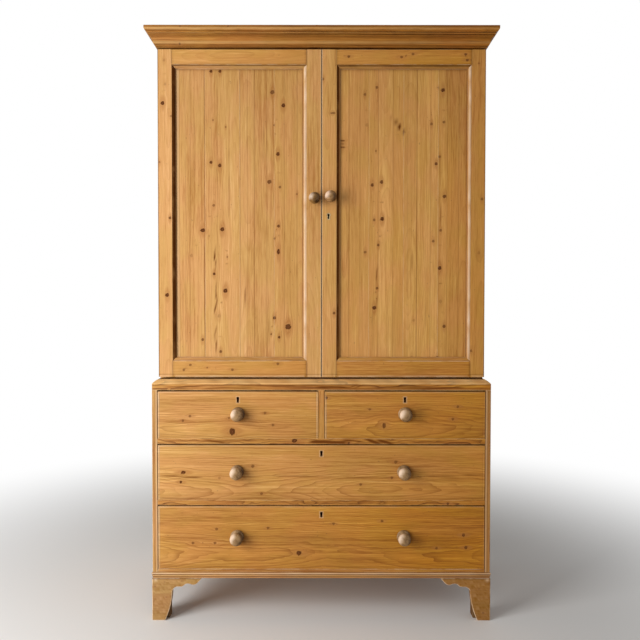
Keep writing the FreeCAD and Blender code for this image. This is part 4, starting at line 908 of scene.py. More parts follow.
# %% Joints and streaks
BOARD_JOINTS = {
    "left_door_panel": [(179.6, 0.48), (185.4, 0.24), (190.3, 0.3), (204.6, 0.6), (211.2, 0.18),
                        (217.5, 0.24), (240.2, 0.48), (247.4, 0.3), (254.4, 0.6), (266.9, 0.36),
                        (284.2, 0.48), (297.2, 0.41)],
    "right_door_panel": [(348.9, 0.48), (360.1, 0.24), (378.3, 0.41), (393, 0.41), (407.5, 0.24),
                         (416.7, 0.71), (430.5, 0.36), (438.7, 0.3), (446.8, 0.36), (458.6, 0.41)],
}
STREAK_LINES = {
    "left_door_panel": [(215.8, 249, 214.6, 257, 2.2, 1.5), (214.6, 257, 215.8, 264, 2.2, 1.7),
                        (215.8, 264, 214.6, 270, 2.0, 1.4), (216.6, 284, 216.0, 292, 2.0, 1.2),
                        (215.8, 292, 217.0, 300, 2.2, 1.5), (216.6, 303, 214.8, 309, 2.4, 1.6),
                        (214.8, 309, 216.0, 317, 2.0, 1.3), (216.2, 328, 215.0, 336, 2.4, 1.6),
                        (215.2, 338, 216.6, 345, 2.2, 1.6), (216.4, 345, 216.0, 352, 2.0, 1.2),
                        (204.2, 242, 205.2, 350, 1.5, 0.4), (245.4, 290, 245.4, 303, 2.2, 1.6),
                        (263.0, 120, 263.4, 160, 1.6, 0.5), (229.4, 150, 229.0, 215, 1.5, 0.45),
                        (268.4, 306, 268.8, 345, 1.6, 0.6), (194.0, 120, 194.4, 190, 1.6, 0.35)],
    "right_door_panel": [(342, 138, 342, 152, 9, 0.35), (397.0, 124.0, 403.6, 131.6, 4.5, 2.4),
                         (391.0, 117.0, 398.0, 125.5, 4.5, 0.8), (411.6, 255, 411.6, 270, 4, 0.5),
                        (377.2, 268, 376.8, 282, 2.2, 1.0), (377.0, 296, 376.4, 306, 2.2, 0.9),
                        (372.6, 312, 373.2, 350, 1.6, 0.6), (440.0, 160, 440.4, 225, 1.6, 0.6),
                        (425.0, 240, 425.4, 330, 1.4, 0.35), (355.0, 120, 355.4, 220, 1.4, 0.35)],
    "middle_drawer_front": [(161, 475.6, 200, 477.6, 2.4, 0.9), (160, 498, 205, 498.8, 2.5, 0.5),
                            (275, 476.2, 331, 475.6, 1.5, 0.8), (348, 478.3, 393, 477.6, 1.6, 0.9),
                            (400, 477.6, 484, 474.6, 1.6, 0.8), (424, 480.5, 470, 479.5, 1.4, 0.5)],
    "bottom_drawer_front": [(165, 537, 478, 539, 22, 0.25), (165, 568.5, 225, 570, 2.5, 0.45),
                            (168, 571.2, 200, 570.4, 2, 0.6)],
    "drawer_rails": [(312, 441.8, 348, 442.4, 4.5, 2.4), (344, 440.2, 362, 441.8, 2.4, 1.8),
                     (367, 439.4, 379, 443.4, 4.5, 2.6), (379, 440.2, 391, 443.6, 4.0, 2.6),
                     (206, 440.8, 226, 442.4, 3.0, 1.2), (163, 441, 196, 440.6, 2.4, 0.5)],
    "waist_frame": [(318, 387.0, 347, 387.4, 3.0, 1.8), (349, 387.8, 358, 384.2, 2.2, 1.4),
                    (354, 388.2, 364, 384.4, 2.2, 1.4), (300, 385.3, 345, 384.9, 2.2, 1.0),
                    (166, 387.0, 200, 386.4, 2.2, 0.9), (205, 388.3, 252, 387.6, 2.0, 0.9),
                    (240, 385.6, 296, 386.2, 2.0, 0.8), (380, 386.8, 420, 386.2, 2.2, 1.0),
                    (405, 388.2, 462, 387.6, 2.4, 1.1)],
}
# from left to right, how much paler each strip between two joints is
STRIP_TONES = {
    "left_door_panel": (0.15, 0.15, 0.05, 0.05, 0.0, -0.05, 0.05, 0.10, -0.05, -0.18, 0.0, 0.05, 0.30),
    "right_door_panel": (-0.25, -0.22, -0.15, 0.30, 0.0, 0.10, 0.18, 0.35, 0.05, -0.28, -0.28),
}
JOINT_HALF = 0.0016
JOINT_BEYOND = 0.1
CUTS_BY_JOINT = (-2, -1, 0, 1, 2)
# how far down the front view the cuts by the short cracks are
SHORT_CRACKS = (139.2, 140.0, 141.6, 142.3, 143.0, 144.6, 145.4, 146.4, 148.0, 149.0)
WAVE = 0.0008
ALL_CUTS = defaultdict(list)
for down in SHORT_CRACKS:
    ALL_CUTS["right_door_panel"].append((Z, on_front(VIEW_SIZE / 2, down, face_of("right_door_panel")).z))
for node, joints in BOARD_JOINTS.items():
    low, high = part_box(node)
    for right, strength in joints:
        middle = on_front(right, VIEW_SIZE / 3, face_of(node)).x
        ends = [Vector((middle, 0, low[2] - JOINT_BEYOND)), Vector((middle, 0, high[2] + JOINT_BEYOND))]
        ALL_STREAKS[node].append((*ends, JOINT_HALF, strength, 0.0))
        ALL_CUTS[node] += [(X, middle + JOINT_HALF * away) for away in CUTS_BY_JOINT]
    sides = [on_front(right, VIEW_SIZE / 3, face_of(node)).x for right, _ in joints] + [high[0]]
    for start, end, paler in zip([low[0]] + sides[:-1], sides, STRIP_TONES[node]):
        ALL_STRIPS[node].append((start, end, paler))
for node, lines in STREAK_LINES.items():
    for right1, down1, right2, down2, width, strength in lines:
        ends = [on_front(right1, down1, face_of(node)), on_front(right2, down2, face_of(node))]
        ALL_STREAKS[node].append((*ends, width * MILLIMETRE, strength, WAVE))
print("joints and streaks:", sum(len(streaks) for streaks in ALL_STREAKS.values()))

# %% [markdown]
# Hands, dusters and a hundred years of wax leave their marks by the edges. Wax and dust build up
# in every corner that a cloth doesn't reach, and the parts that stand out are rubbed bare. The
# same marks also carry painted shade in corners, gaps and hollows, and painted highlights on
# parts that face the light. A relief is a function that is given the points of one board and
# says how worn and how grimy each of them is. It may also move the points, for a groove or a
# dent. Painting the marks on an image would be the other way, but then they would slip off the
# edges when a board changes.

# %% Marks of use
def uneven(along, seed):
    """A slow wave between -1 and 1 that never quite repeats."""
    return (np.sin(along * 23 + seed) + np.sin(along * 51 + seed * 2.3) + np.sin(along * 97 + seed * 3.7)) / 3


def band(distance, width, edge=0.0008):
    """1 nearer than width, 0 beyond it, with an edge as soft as given."""
    return np.clip((width - distance) / edge + 0.5, 0, 1)


def ridge(distance, half):
    """1 at no distance, fading over half."""
    return np.exp(-(distance / half) ** 2)


def marks_of(wear, grime):
    """One row for each point: worn, grimy, and no streak; worn also carries painted highlight, grimy painted
    shade.
    """
    return np.stack([wear, grime, np.zeros(len(wear))], axis=1)


print("a band at its own width:", band(np.array([0.002]), 0.002)[0])

# %% [markdown]
# Each door has two stiles, two rails, a sunk panel of four boards and a moulding mitred round
# it. The mouldings carry the strongest marks, most of them painted light: the left length faces
# away from the window and is black with painted shade, the upper one has painted shade too, and
# the right one is painted pale as a highlight, partly over rubbed bare wood. One relief serves
# all four lengths, because each length finds out for itself on which side of the panel it lies.
# Lists of four values are always for the left, right, lower and upper side.

# %% Painted shade and highlight on the mouldings
# how far from the outer edge the pale painted highlight, partly wear, reaches
HIGHLIGHT_AND_WEAR_WIDTH = 0.0115
# for each length, left, right, lower and upper: how wide the painted shade by the outer edge is,
# how dark, how much painted shade the rest has, and how bare, as painted highlight and wear
MOULDING_SHADE_AND_HIGHLIGHT = {
    "left_door": [(0.0105, 1.0, 0.60, 0.0), (0.0006, 0.30, 0.05, 1.0), (0.0045, 0.30, 0.08, 0.0),
                  (0.0055, 0.68, 0.28, 0.0)],
    "right_door": [(0.0085, 1.0, 0.22, 0.0), (0.0010, 0.45, 0.05, 0.95), (0.0040, 0.22, 0.08, 0.0),
                   (0.0070, 0.78, 0.42, 0.0)],
}


def inset_in(points, low, high):
    """How far points lie inside the left, right, lower and upper side of a box."""
    return np.stack([points[:, X] - low[0], high[0] - points[:, X],
                     points[:, Z] - low[2], high[2] - points[:, Z]])


def moulding_relief(door):
    """Painted shade by the outer edge and dimmer on the rest; the right length is painted pale as a
    highlight, partly worn.
    """
    low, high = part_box(door + "_panel_moulding")

    def relief(points):
        inset = inset_in(points, low, high)
        side = int(inset.mean(1).argmin())
        width, dark, dim, bare = MOULDING_SHADE_AND_HIGHLIGHT[door][side]
        along = points[:, Z] if side < 2 else points[:, X]
        away = inset[side] + 0.0004 * uneven(along, side)
        # a band of painted shade along the outer edge; rubbed marks the pale painted highlight, partly wear
        in_painted_shade = band(away, width)
        rubbed = np.clip((HIGHLIGHT_AND_WEAR_WIDTH - away) / 0.003, 0, 1)
        wear = bare * (1 - in_painted_shade) * rubbed * (0.75 + 0.4 * uneven(along * 3, side + 5))
        inner = 0.25 * (bare > 0) * (1 - rubbed)
        return marks_of(wear, dark * in_painted_shade + dim * (1 - in_painted_shade) + inner)

    return relief


print("black wax on the left moulding: %.1f mm wide" % (1000 * MOULDING_SHADE_AND_HIGHLIGHT["left_door"][0][0]))

# %% [markdown]
# Marks have sharp edges only where the points lie close together. So rows of cuts run beside
# every edge that is marked, and the middle of a board is left in larger pieces. Dividing it
# all just as finely would be simpler, but the press would be slow to draw.

# %% Rows of cuts
def rows_beside(node, axis, distances):
    """Cuts at some distances inside both ends of a node."""
    low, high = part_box(node)
    return [(axis, place) for away in distances for place in (low[axis] + away, high[axis] - away)]


def rows_along(node, axis, step):
    """Cuts all along a node, about one step apart."""
    low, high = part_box(node)
    return [(axis, place) for place in evenly(low[axis], high[axis], step)]


def rows_on_both(node, distances):
    """Cuts at some distances inside all four sides of a node."""
    return rows_beside(node, X, distances) + rows_beside(node, Z, distances)


print("cuts by the edges of a drawer, 1 mm inside:", len(rows_on_both("bottom_drawer_front", [0.001])))

# %% [markdown]
# A panel has painted shade where it meets its moulding, most of all on the right, and over its
# upper part. A door's frame is dark by the cupboard and in its joints, has painted shade in the
# gap by the other door and under the cornice, and is pale where it rubbed: on the waist and on
# the other door. Both are again reliefs, so the lines follow the boards.

# %% Painted shade, joints and wear on the panels and frames
MOULDING_WIDTH = 0.014
PANEL_EDGE_SHADE = np.array([0.0, 0.75, 0.15, 0.45])
PANEL_EDGE_SHADE_REACH = np.array([0.0018, 0.0018, 0.0018, 0.0050])
UPPER_SHADE = (0.08, 0.40)    # how strong it is, and how far down it reaches
PALE_BAND = (0.25, 0.010)    # how bare it is, and how wide
EDGE_IN_SHADE = np.array([0.15, 0.0, 0.0, 0.35])
FRAME_JOINT = 0.36


def panel_relief(door):
    """Painted shade in the corner by the moulding and over the upper part, and on the left door a pale band.
    """
    low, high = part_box(door + "_panel_moulding")

    def relief(points):
        inset = inset_in(points, low, high) - MOULDING_WIDTH
        side, nearest = inset.argmin(0), np.maximum(inset.min(0), 0)
        # painted shade in the corner by the moulding, and over the upper part
        grime = PANEL_EDGE_SHADE[side] * np.exp(-nearest / PANEL_EDGE_SHADE_REACH[side])
        grime = grime + UPPER_SHADE[0] * np.clip(1 - inset[3] / UPPER_SHADE[1], 0, 1)
        pale = PALE_BAND[0] * band(inset[0], PALE_BAND[1])
        wear = pale if door == "left_door" else np.zeros(len(points))
        return marks_of(wear, grime)

    return relief


def frame_relief(door):
    """Dark hinge side and joints, painted shade in the door gap and under the top, rubbed foot and meeting
    edge.
    """
    low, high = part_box(door + "_stiles")
    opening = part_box(door + "_panel_moulding")
    hinge_side = 0 if door == "left_door" else 1

    def relief(points):
        inset = inset_in(points, low, high)
        outside = -inset_in(points, *opening)
        side, beyond = outside.argmax(0), outside.max(0)
        shaded = EDGE_IN_SHADE[side] * band(np.abs(beyond), 0.0024, 0.0006)
        grime = 0.6 * band(inset[hinge_side], 0.0028) + 0.35 * ridge(inset[2] - 0.0095, 0.0018)
        to_joint = np.minimum(np.abs(points[:, X] - opening[0][0]), np.abs(points[:, X] - opening[1][0]))
        joint = band(to_joint, 0.0016, 0.0008) * (np.maximum(outside[2], outside[3]) > -0.0005)
        # painted shade on the faces in the gap by the other door, and along the top edge under the cornice
        between = (inset[1 - hinge_side] < 0.0010) & (points[:, Y] > low[1] + 0.0026)
        grime = grime + FRAME_JOINT * joint + 0.9 * between + 0.6 * band(inset[3], 0.0016)
        wear = 0.4 * band(inset[2], 0.006, 0.002) * (0.6 + 0.4 * uneven(points[:, X], 4))
        wear = wear + 0.9 * (inset[1 - hinge_side] < 0.0012)
        return marks_of(wear - shaded - joint, np.maximum(grime, 0.9 * shaded))

    return relief


print("the upper dirt of a panel reaches %.0f mm down" % (1000 * UPPER_SHADE[1]))

# %% [markdown]
# The boards of a door needn't come from one tree, so every part has a tone and a warmth of its
# own: the left panel is darker than the right one, and the rails are the warmest. The right
# door's stiles, panel and moulding are also warmer than the left door's, partly as painted warm
# shade on the side away from the window. Each part could be dressed by hand, but the doors have
# the same parts, so one loop dresses both.

# %% Doors
DOOR_CUT = (0.016, 0.006)
PANEL_CUT = (0.018, 0.005)
# how much paler and how much warmer each part is
DOOR_TONES = {
    "left_door_stiles": (-0.12, 0.0), "left_door_rails": (-0.1, 0.6), "left_door_panel": (-0.25, 0.08),
    "right_door_stiles": (0.08, 0.3), "right_door_rails": (-0.2, 0.6), "right_door_panel": (0.1, 0.25),
    "left_door_panel_moulding": (-0.35, 0.1), "right_door_panel_moulding": (-0.1, 0.3),
}
BY_THE_MOULDING = [MOULDING_WIDTH + away for away in (0.0003, 0.0015, 0.003, 0.0055, 0.0095, 0.0105)]
BY_THE_FOOT = (0.002, 0.0045, 0.0065, 0.008, 0.0095, 0.011, 0.013)
BY_THE_EDGE = (0.0022, 0.0028, 0.0035)
PROFILE_STEPS = [0.001 * step for step in range(1, 14)]
ALONG_MOULDING = 0.03
for door in ("left_door", "right_door"):
    moulding = door + "_panel_moulding"
    profile_cuts = rows_on_both(moulding, PROFILE_STEPS)
    profile_cuts += rows_along(moulding, Z, ALONG_MOULDING) + rows_along(moulding, X, ALONG_MOULDING)
    tint, warmth = DOOR_TONES[moulding]
    wooden_piece(moulding, MOULDING_PINE, arris=0.0003, cuts=profile_cuts, tint=tint, warmth=warmth,
                 relief=moulding_relief(door))
    panel = door + "_panel"
    edge_cuts = rows_on_both(moulding, BY_THE_MOULDING) + ALL_CUTS[panel]
    tint, warmth = DOOR_TONES[panel]
    wooden_piece(panel, DOOR_PINE, arris=0.0004, cut=PANEL_CUT, cuts=edge_cuts, tint=tint,
                 warmth=warmth, relief=panel_relief(door))
    stiles = door + "_stiles"
    outer_cuts = rows_beside(stiles, Z, BY_THE_FOOT) + rows_beside(stiles, X, BY_THE_EDGE)
    for node in (stiles, door + "_rails"):
        tint, warmth = DOOR_TONES[node]
        wooden_piece(node, DOOR_PINE, arris=0.0022, cut=DOOR_CUT, cuts=outer_cuts, tint=tint,
                     warmth=warmth, relief=frame_relief(door))
print("doors dressed")

# %% [markdown]
# A drawer front is a single wide board. A fine groove once set off a bead round its edge, and
# it is nearly rubbed away now. The edges themselves are pale, most of all at the top and on
# the left, where a hand takes hold. The keyhole is painted black as shade, the key has rubbed a
# pale ring round it, and a painted shadow darkens the wood to the right of each knob. Behind the
# front nothing was waxed. Where the keyholes and knobs are is measured on the solid model, so no
# mark can miss them.

# %% Find the keyholes and knobs
KEYHOLE_CLEAR = 0.008
KEYHOLE_REACH = 0.055
FRONT_FACE = 0.0002
PAIR_AT_LEAST = 0.1


def keyhole_in(drawer):
    """The middle and the half sizes of the keyhole on a drawer front, right and up."""
    low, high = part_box(drawer + "_front")
    lock = [corner[0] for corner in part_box(drawer + "_lock")]
    rim = np.array([vertex.co for vertex in NODES[drawer + "_front"].data.vertices
                    if vertex.co.y < low[1] + FRONT_FACE and lock[0] < vertex.co.x < lock[1]
                    and high[2] - KEYHOLE_REACH < vertex.co.z < high[2] - KEYHOLE_CLEAR])
    return (rim.min(0) + rim.max(0))[[X, Z]] / 2, np.ptp(rim, axis=0)[[X, Z]] / 2


def knob_centres(node):
    """The middle of each knob of a node, on the face that it stands on."""
    low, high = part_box(node)
    points = np.array([vertex.co for vertex in NODES[node].data.vertices])
    middle = (low[0] + high[0]) / 2
    is_pair = high[0] - low[0] > PAIR_AT_LEAST
    knobs = [points[points[:, X] < middle], points[points[:, X] > middle]] if is_pair else [points]
    return [((knob[:, X].min() + knob[:, X].max()) / 2, (knob[:, Z].min() + knob[:, Z].max()) / 2)
            for knob in knobs]


print("knobs on the bottom drawer:", len(knob_centres("bottom_drawer_knobs")))

# %% [markdown]
# The marks of a drawer front are one relief as well. It also presses the groove into the face,
# which the solid model leaves flat, and it lays painted shade in the gaps round the front and in
# the keyhole. The drawers differ in how dark the painted shade line under the rail is, and the
# two short ones in the side on which they meet the muntin.

# %% Marks on the drawer fronts
BEAD_CUTS = (0.0015, 0.0030, 0.0042, 0.0050, 0.0058, 0.0066, 0.0074, 0.0084)
BEAD_PLACE = 0.0066
# on each side: how much of the groove is left, and how wide and how bare the pale rim is
BEAD_LEFT_OVER = np.array([0.45, 0.30, 0.30, 0.0])
GROOVE_HALF = 0.0009
GROOVE_DEPTH = 0.0012
RIM_WIDTH = np.array([0.0062, 0.0050, 0.0030, 0.0060])
RIM_BARE = np.array([0.50, 0.25, 0.03, 0.40])
LOWER_EDGE_DARKENING = (0.14, 0.020)      # how strong it is, and how far up it reaches
RIM_BY_MUNTIN = 0.42
LEFT_HAND_REACH = 0.22
KEY_RING = (0.0014, 0.0026, 0.0042)
KEY_RING_BARE = 0.35
# the painted shadow of each knob, centred to its right and a little below it
KNOB_SHADOW_OFFSET = (0.010, -0.004)     # how far right and up of a knob it lies
KNOB_SHADOW_REACH = 0.029
KNOB_SHADOW_DARK = 0.45
# how dark the painted shade line under the rail is
SHADE_UNDER_RAIL = {"top_left_drawer": 0.95, "top_right_drawer": 0.8, "middle_drawer": 0.6, "bottom_drawer": 0.25}


def bead_relief(drawer):
    """A groove with a pale rim outside it; painted shade in keyhole, gaps, under the rail and by each knob;
    darker towards the bottom.
    """
    node = drawer + "_front"
    low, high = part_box(node)
    middle, half = keyhole_in(drawer)
    by_muntin = {"top_left_drawer": 1, "top_right_drawer": 0}.get(drawer)
    knobs = knob_centres(drawer + ("_knobs" if drawer + "_knobs" in NODES else "_knob"))

    def relief(points):
        front = points[:, Y] < low[1] + 0.0004
        inset = inset_in(points, low, high)
        side, near = inset.argmin(0), inset.min(0)
        patchy = 0.65 + 0.35 * uneven(points[:, X] + points[:, Z], len(drawer))
        groove = ridge(near - BEAD_PLACE, GROOVE_HALF) * front * BEAD_LEFT_OVER[side] * patchy
        points[:, Y] += groove * GROOVE_DEPTH
        by_left_hand = 0.35 + 0.65 * np.exp(-inset[0] / LEFT_HAND_REACH)
        rim = band(near, RIM_WIDTH[side], 0.0012) * front * RIM_BARE[side] * patchy * by_left_hand
        if by_muntin is not None:
            rim = np.maximum(rim, RIM_BY_MUNTIN * band(inset[by_muntin], 0.0062, 0.002) * front * patchy)
        shaded = 0.8 * (inset[1] < 0.0013) + 0.8 * (inset[0] < 0.0013) * (by_muntin == 0)
        # painted shade on the edges of the front, in the gaps round it
        gap_shade = ~front & (near < 0.0004) & (points[:, Y] < low[1] + 0.012)
        by_key = (np.abs(points[:, [X, Z]] - middle) - half).max(1)
        # painted shade in the keyhole
        keyhole_shade = (by_key < 0.0003) & (near > KEYHOLE_CLEAR / 2) & (points[:, Y] < low[1] + 0.014)
        ring = KEY_RING_BARE * band(by_key, 0.0034, 0.001) * front
        # painted shade line under the rail, and darker towards the bottom edge
        rail_shade_and_low_edge = SHADE_UNDER_RAIL[drawer] * (inset[3] < 0.0011) * (points[:, Y] < low[1] + 0.002)
        rail_shade_and_low_edge = rail_shade_and_low_edge + LOWER_EDGE_DARKENING[0] * np.exp(-inset[2] / LOWER_EDGE_DARKENING[1]) * front
        # painted shadow of each knob on the front
        knob_shade_and_wear = np.zeros(len(points))
        for x, z in knobs:
            away = np.hypot(points[:, X] - x - KNOB_SHADOW_OFFSET[0], points[:, Z] - z - KNOB_SHADOW_OFFSET[1])
            knob_shade_and_wear = np.maximum(knob_shade_and_wear, KNOB_SHADOW_DARK * band(away, KNOB_SHADOW_REACH, 0.008) * front)
        grime = groove * 0.9 + gap_shade + rail_shade_and_low_edge + knob_shade_and_wear + 1.5 * keyhole_shade
        return marks_of(np.maximum(rim, ring) - shaded, grime)

    return relief


print("a bead lies %.1f mm inside the edge of a drawer front" % (1000 * BEAD_PLACE))

# %% [markdown]
# A keyhole is small, so each front also gets cuts right beside it, or the ring round it would
# be blurred. Behind the front the wood is bare, with another finish: it was never waxed.

# %% Drawers
DRAWER_CUT = (0.010, 0.005)
# how much paler and how much warmer each front is
DRAWER_TONES = {
    "top_left_drawer": (-0.1, 0.45), "top_right_drawer": (0.05, 0.55),
    "middle_drawer": (0.0, 0.45), "bottom_drawer": (-0.05, 0.75),
}
for drawer, (tint, warmth) in DRAWER_TONES.items():
    node = drawer + "_front"
    bead_cuts = rows_on_both(node, BEAD_CUTS)
    middle, half = keyhole_in(drawer)
    for axis, centre, size in zip((X, Z), middle, half):
        bead_cuts += [(axis, centre + side * (size + away)) for away in KEY_RING for side in (-1, 1)]
    wooden_piece(node, DRAWER_PINE, arris=0.0012, cut=DRAWER_CUT, cuts=bead_cuts, tint=tint,
                 warmth=warmth, relief=bead_relief(drawer))
    wooden_piece(drawer + "_sides", BARE_PINE)
    wooden_piece(drawer + "_bottom", BARE_PINE, arris=0.0005, chance=True)
print("drawers dressed")

# %% [markdown]
# The chest's sides show their front edges beside the drawers, with a pale inner corner where
# the drawers rub. A narrow strip could be laid on them for that, but it would be a piece that
# the real press doesn't have.

# %% Sides of the chest
GAP_BESIDE_DRAWER = 0.0015
chest_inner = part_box("bottom_drawer_front")[1][0] + GAP_BESIDE_DRAWER


def side_edge_relief(points):
    """The front edge of a side: pale by the drawers, dark at its outer corner, and painted shade in the gap
    beside them.
    """
    low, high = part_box("chest_sides")
    outer = np.minimum(points[:, X] - low[0], high[0] - points[:, X])
    front = band(points[:, Y] - low[1], 0.002)
    thickness = high[0] - chest_inner
    pale = 0.4 * ridge(outer - thickness + 0.004, 0.003) * front
    dark = front * (0.35 * ridge(outer - thickness / 2, 0.004) + 0.25 * ridge(outer, 0.003))
    dark = dark * np.where(points[:, X] < 0, 0.25, 1.0)
    # painted shade on the inner corner and face, in the gap beside the drawers
    return marks_of(pale, np.maximum(dark, 0.8 * band(thickness - outer, 0.0012, 0.0006)))


SIDE_EDGE_STEPS = [0.0012 * step for step in range(1, 18)]
wooden_piece("chest_sides", SIDE_PINE, arris=0.0015, cuts=rows_beside("chest_sides", X, SIDE_EDGE_STEPS),
             chance=True, relief=side_edge_relief)
print("sides of the chest: %.0f mm thick" % (1000 * (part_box("chest_sides")[1][0] - chest_inner)))

# %% [markdown]
# Under the sides runs a moulding with two reeds: their crests get painted highlights, partly
# rubbed bright, and the quirks between them get painted shade, partly wax. A cloth moves along a
# moulding, so its marks are lines that keep their height all the way, and a line is given by that
# height, its half width and its strength.

# %% Base moulding
# heights above the foot of the moulding in millimetres, half widths and strengths
REED_HIGHLIGHTS = [(17.5, 2.6, 1.0), (9.5, 2.0, 0.45), (2.5, 2.0, 0.3)]
REED_QUIRK_SHADE = [(13.0, 0.9, 0.9), (5.9, 0.9, 0.8), (21.6, 0.8, 0.5)]


def lines_at(height, lines, shift=0.0):
    """How strong a set of level lines is at each height, in metres above their foot."""
    strongest = np.zeros(len(height))
    for level, half, strength in lines:
        away = height - level * MILLIMETRE - shift
        strongest = np.maximum(strongest, strength * ridge(away, half * MILLIMETRE))
    return strongest


def reed_relief(points):
    """Painted highlights on the crests and painted shade in the quirks, partly wear and wax."""
    height = points[:, Z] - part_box("base_moulding")[0][2]
    patchy = 0.8 + 0.2 * uneven(points[:, X] + points[:, Y], 3)
    return marks_of(lines_at(height, REED_HIGHLIGHTS) * patchy, lines_at(height, REED_QUIRK_SHADE))


REED_STEPS = (0.04, 0.001)      # along the moulding and up its profile
reed_cuts = rows_along("base_moulding", Z, REED_STEPS[1]) + rows_along("base_moulding", X, REED_STEPS[0])
wooden_piece("base_moulding", SIDE_PINE, arris=0.0005, cuts=reed_cuts, tint=-0.4, warmth=0.75,
             relief=reed_relief)
print("lines on the base moulding:", len(REED_HIGHLIGHTS + REED_QUIRK_SHADE))

# %% [markdown]
# The feet were sawn out of boards, and they are mottled rather than striped. Their inner faces,
# the blocks behind them and a line under the moulding get painted shade. A finish of its own
# could make them dark, but the same wood darkened in this way looks more like what it is.

# %% Feet and the rest of the chest
FOOT_BOARD = 0.012
# how far a pale blotch lies from the side and from the top of a foot, and how bare it is
FOOT_BLOTCH = (0.012, 0.006, 0.6)
FOOT_MOTTLE = 0.26


def foot_relief(points):
    """Mottled, with painted shade in a line under the moulding and on the inner faces."""
    low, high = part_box("bracket_feet")
    below_top = high[2] - points[:, Z]
    under = band(below_top, 0.0035, 0.001)
    inset = np.minimum(inset_in(points, low, high)[:2].min(0), points[:, Y] - low[1])
    side = np.where(points[:, X] < 0, points[:, X] - low[0], high[0] - points[:, X])
    mottled = 1.6 * uneven(points[:, X] * 4 + points[:, Z], 7) * uneven(points[:, Z] * 5 - points[:, X], 3)
    mottled = np.clip(0.5 + mottled, 0, 1)
    from_blotch = np.hypot(side - FOOT_BLOTCH[0], below_top - FOOT_BLOTCH[1])
    blotch = FOOT_BLOTCH[2] * ridge(from_blotch, 0.006)
    grime = np.maximum(0.45 * under, 0.85 * (inset > FOOT_BOARD))
    grime = grime + FOOT_MOTTLE * mottled * (inset < FOOT_BOARD)
    return marks_of(blotch + 0.5 * FOOT_MOTTLE * (1 - mottled), grime)


def kept_edges(points):
    """Edges that no hand reaches keep their wax."""
    return marks_of(np.full(len(points), -1.0), np.zeros(len(points)))


def shaded_all_over(points):
    """Painted shade all over a block that stands behind the feet."""
    return marks_of(np.zeros(len(points)), np.full(len(points), 0.8))


FOOT_CUT = (0.006, 0.006)
wooden_piece("bracket_feet", FOOT_PINE, arris=0.0022, cut=FOOT_CUT, tint=0.05, warmth=0.65,
             relief=foot_relief)
wooden_piece("foot_blocks", BARE_PINE, relief=shaded_all_over)
wooden_piece("chest_bottom", SIDE_PINE, arris=0.001, tint=-0.15, warmth=0.4)
wooden_piece("drawer_muntin", DRAWER_PINE, arris=0.0006, warmth=0.3, relief=kept_edges)
print("chest dressed")

# %% [markdown]
# The waist is the frame on which the cupboard stands, with a bevel all round it. Its wood and
# the rails between the drawers come from the outside of a trunk, where the grain runs in flames.

# %% Waist and drawer rails
def waist_relief(points):
    """The bevel faces up and is painted pale as a highlight, partly wear; the ledge under the doors gets
    painted shade.
    """
    low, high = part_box("waist_frame")
    below_top = high[2] - points[:, Z]
    bevel = band(below_top, 0.017, 0.003)
    ledge = band(below_top, 0.0006, 0.0004)
    foot = band(points[:, Z] - low[2], 0.003, 0.002)
    patchy = 0.75 + 0.25 * uneven(points[:, X] + points[:, Y], 8)
    top = ridge(below_top - 0.0030, 0.0022)
    return marks_of(((0.70 * bevel + 0.3 * top) * (1 - ledge) + 0.25 * foot) * patchy, 0.75 * ledge)


WAIST_CUT = (0.010, 0.002)
RAIL_CUT = (0.006, 0.0015)
wooden_piece("waist_frame", RAIL_PINE, arris=0.0012, cut=WAIST_CUT, tint=-0.17, warmth=0.6,
             relief=waist_relief)
wooden_piece("drawer_rails", RAIL_PINE, cut=RAIL_CUT, tint=-0.2, warmth=0.45)
print("waist and rails dressed")

# %% [markdown]
# The cornice is one deep moulding: a lip over the doors, a long hollow, two small beads and a
# round nose. Its lines are what the eye follows, so the painted shade and painted highlights in
# each of them, partly wax and wear, are laid out by height. It gets more painted shade and less
# highlight to the right, and the nose is a little uneven from knocks.

# %% Cornice and cupboard
# heights above the foot of the cornice in millimetres, half widths and strengths
CORNICE_SHADE = [(0.0, 2.4, 0.9), (4.0, 1.8, 0.35), (7.3, 1.4, 0.60), (33.0, 5.0, 0.42), (37.5, 2.0, 0.35),
                 (40.2, 1.3, 0.9), (47.6, 1.4, 0.65)]
NOSE_SHADE_AND_DIRT = [(60.5, 1.3, 0.55), (50.0, 1.8, 0.15), (65.5, 0.9, 0.5)]
CORNICE_HIGHLIGHT = [(15.5, 4.5, 0.50), (44.0, 1.5, 0.45)]
NOSE_HIGHLIGHT_AND_WEAR = [(55.5, 4.0, 0.6)]
NOSE_HEIGHT = 0.048
NOSE_KNOCKS = 0.0006


def cornice_relief(points):
    """Painted shade in every line and painted highlights on the crests, partly wax and wear, and a nose
    uneven from knocks.
    """
    low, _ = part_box("cornice")
    height = points[:, Z] - low[2]
    along = points[:, X] + points[:, Y]
    wave = 0.0010 * uneven(along, 2)
    to_right = points[:, X] / HALF_FRONT
    sag = -0.0025 * to_right
    grime = np.maximum(lines_at(height, CORNICE_SHADE, 0.3 * wave + sag), lines_at(height, NOSE_SHADE_AND_DIRT, wave))
    wear = np.maximum(lines_at(height, CORNICE_HIGHLIGHT), lines_at(height, NOSE_HIGHLIGHT_AND_WEAR, wave))
    # painted shade grows and painted highlight fades towards the right, away from the window
    wear = wear * (0.75 + 0.2 * uneven(along, 6) - 0.35 * to_right)
    grime = grime * (0.95 + 0.15 * uneven(along, 9) + 0.25 * to_right)
    nose = (height > NOSE_HEIGHT) & (points[:, Y] < low[1] + 0.02)
    points[:, Y] += nose * NOSE_KNOCKS * np.abs(uneven(along * 2, 11))
    return marks_of(np.clip(wear, 0, 1), grime)


